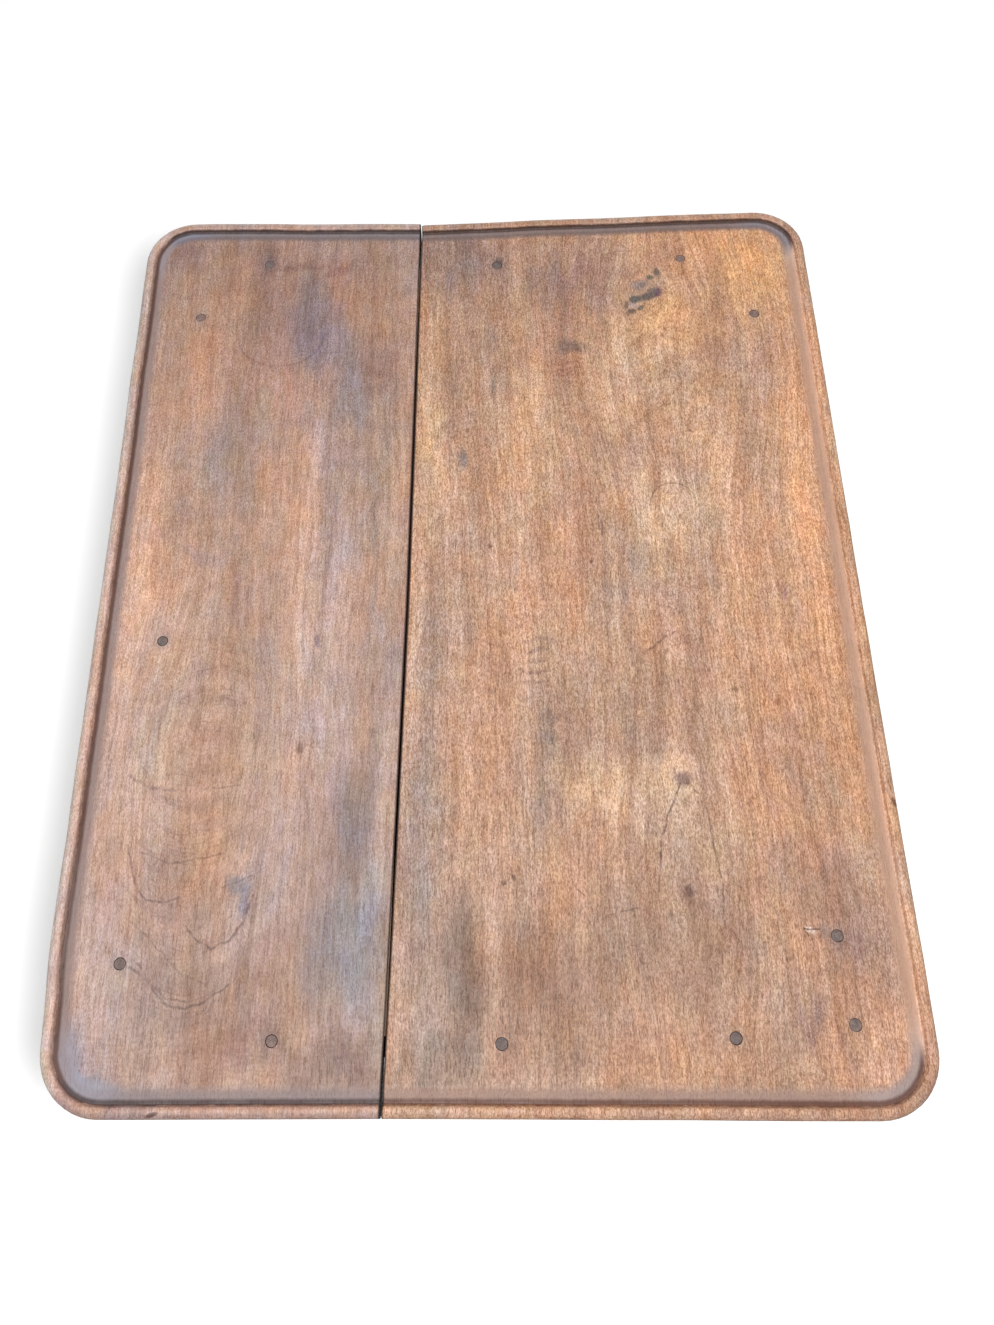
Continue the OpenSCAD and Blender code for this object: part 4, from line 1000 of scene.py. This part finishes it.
for k, (legX, legY) in enumerate(legPlaces):
    turn = Matrix.Rotation(k * math.pi / 2, 2)
    for z in leg["pegs"]["heights"]:
        for local, aim in (((back, inward), (0, 1)), ((inward, back), (1, 0))):
            spot, way = turn @ Vector(local), turn @ Vector(aim)
            pinPlaces.append((legX + spot[0], legY + spot[1], z))
            pinAims.append((*way, 0))
setShapes("framePegsSet", pinPlaces, pinAims, turned("pinShape", *small["pin"]), 11, 0.95,
          "frame_pegs", "table", "pegs")
low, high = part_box("drawer_nails")
nailX, nailZ = (low[0] + high[0]) / 2 / mm, low[2] / mm
setShapes("drawerNailsSet", [(nailX, leg["middle"][1] + y, nailZ) for y in small["nailPlaces"]], [(0, 0, 1)] * 3,
          turned("nailShape", *small["nail"]), 3, 0.97, "drawer_nails", "drawer", "nails")

knobTurning = {
    "stem": [(5.6, -22), (5.95, -21)],  # radius and height over the drawer's front
    "head": [(5.95, -0.02), (10.4, 0), (11, 0.6), (11, 2.2), (10.3, 3), (8.6, 3.6), (7.7, 5.2), (7.35, 7.8),
             (7.6, 10.6), (8.8, 13.2), (11.4, 15.2), (13.4, 16.8), (14.6, 18.6), (14.95, 20.2), (14.6, 22.1),
             (13.4, 23.9), (11.2, 25.1), (8, 25.75), (3, 26)],
    "perSpan": 3, "sides": 48, "sharpest": 42,
}
low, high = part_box("drawer_knob")
head, fine = knobTurning["head"], knobTurning["perSpan"]
curve = [tuple(along(head, i / fine)) for i in range((len(head) - 1) * fine + 1)]
knob = turned("drawerKnobTurned", knobTurning["stem"] + curve, knobTurning["sides"])
knobFoot = (high[0] - head[-1][1] * mm, (low[1] + high[1]) / 2, (low[2] + high[2]) / 2)
knob.data.transform(Matrix.Translation(knobFoot) @ Matrix.Rotation(math.pi / 2, 4, "Y"))
shadeFrom(knob, knobTurning["sharpest"])
stands(knob, "drawer_knob", "drawer", "knob")
print("pegs, nails and knob set")

# floor, world and lamps
studio = {
    "floorHalf": 6, "floorHeight": -0.0003, "bounce": 0.56, "worldLevel": 0.26,
    "front": ((0.07, -0.421, 1.62), 0.046, 22),  # place, radius and strength
    "sun": ((-1.1, -0.2, 3), (0.36, 0.05, -1), 1.54), "sunAngle": 4,
}


def whiteFloor():
    half, z = studio["floorHalf"], studio["floorHeight"]
    data = bpy.data.meshes.new("floor")
    data.from_pydata([(-half, -half, z), (half, -half, z), (half, half, z), (-half, half, z)], [], [(0, 1, 2, 3)])
    floor = addObject("floor", data)
    mat = bpy.data.materials.new("floorWhite")
    mat.use_nodes = True
    tree = mat.node_tree
    # the camera sees a white floor, and what bounces off it stays softer
    rays = putNode(tree, "ShaderNodeLightPath").outputs
    tone = putNode(tree, "ShaderNodeMapRange",
                   {"Value": rays["Is Camera Ray"], "To Min": studio["bounce"], "To Max": 1})
    for key, value in (("Roughness", 1), ("Specular IOR Level", 0), ("Base Color", tone.outputs[0])):
        feed(tree, tree.nodes["Principled BSDF"].inputs[key], value)
    data.materials.append(mat)
    floor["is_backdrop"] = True


def whiteWorld():
    world = bpy.data.worlds.new("world")
    bpy.context.scene.world = world
    world.use_nodes = True
    tree = world.node_tree
    rays = putNode(tree, "ShaderNodeLightPath").outputs
    seen = rays["Is Camera Ray"]
    for kind in ("Is Glossy Ray", "Is Transmission Ray"):
        seen = putNode(tree, "ShaderNodeMath", {0: seen, 1: rays[kind]}, operation="MAXIMUM").outputs[0]
    gain = putNode(tree, "ShaderNodeMapRange", {"Value": seen, "To Min": studio["worldLevel"], "To Max": 1})
    for key, value in (("Color", (1, 1, 1, 1)), ("Strength", gain.outputs[0])):
        feed(tree, tree.nodes["Background"].inputs[key], value)


def addLamp(name, kind, place, way, strength):
    data = bpy.data.lights.new(name, kind)
    data.energy = strength
    lamp = addObject(name, data)
    lamp.location = place
    lamp.rotation_euler = Vector(way).to_track_quat("-Z", "Y").to_euler()
    return data


def evenLamp(name, place, radius, strength):  # as strong far off as near, so the top is lit evenly
    data = addLamp(name, "POINT", place, (0, 0, -1), strength)
    data.shadow_soft_size = radius
    data.use_nodes = True
    even = putNode(data.node_tree, "ShaderNodeLightFalloff", {"Strength": 1}).outputs["Constant"]
    feed(data.node_tree, data.node_tree.nodes["Emission"].inputs["Strength"], even)


whiteFloor()
whiteWorld()
evenLamp("lampFront", *studio["front"])  # its shadow shows as a soft strip along the left side
addLamp("sunLeft", "SUN", *studio["sun"]).angle = math.radians(studio["sunAngle"])
bpy.context.scene.view_settings.view_transform = "Standard"
print("floor and lamps placed")

low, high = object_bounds()
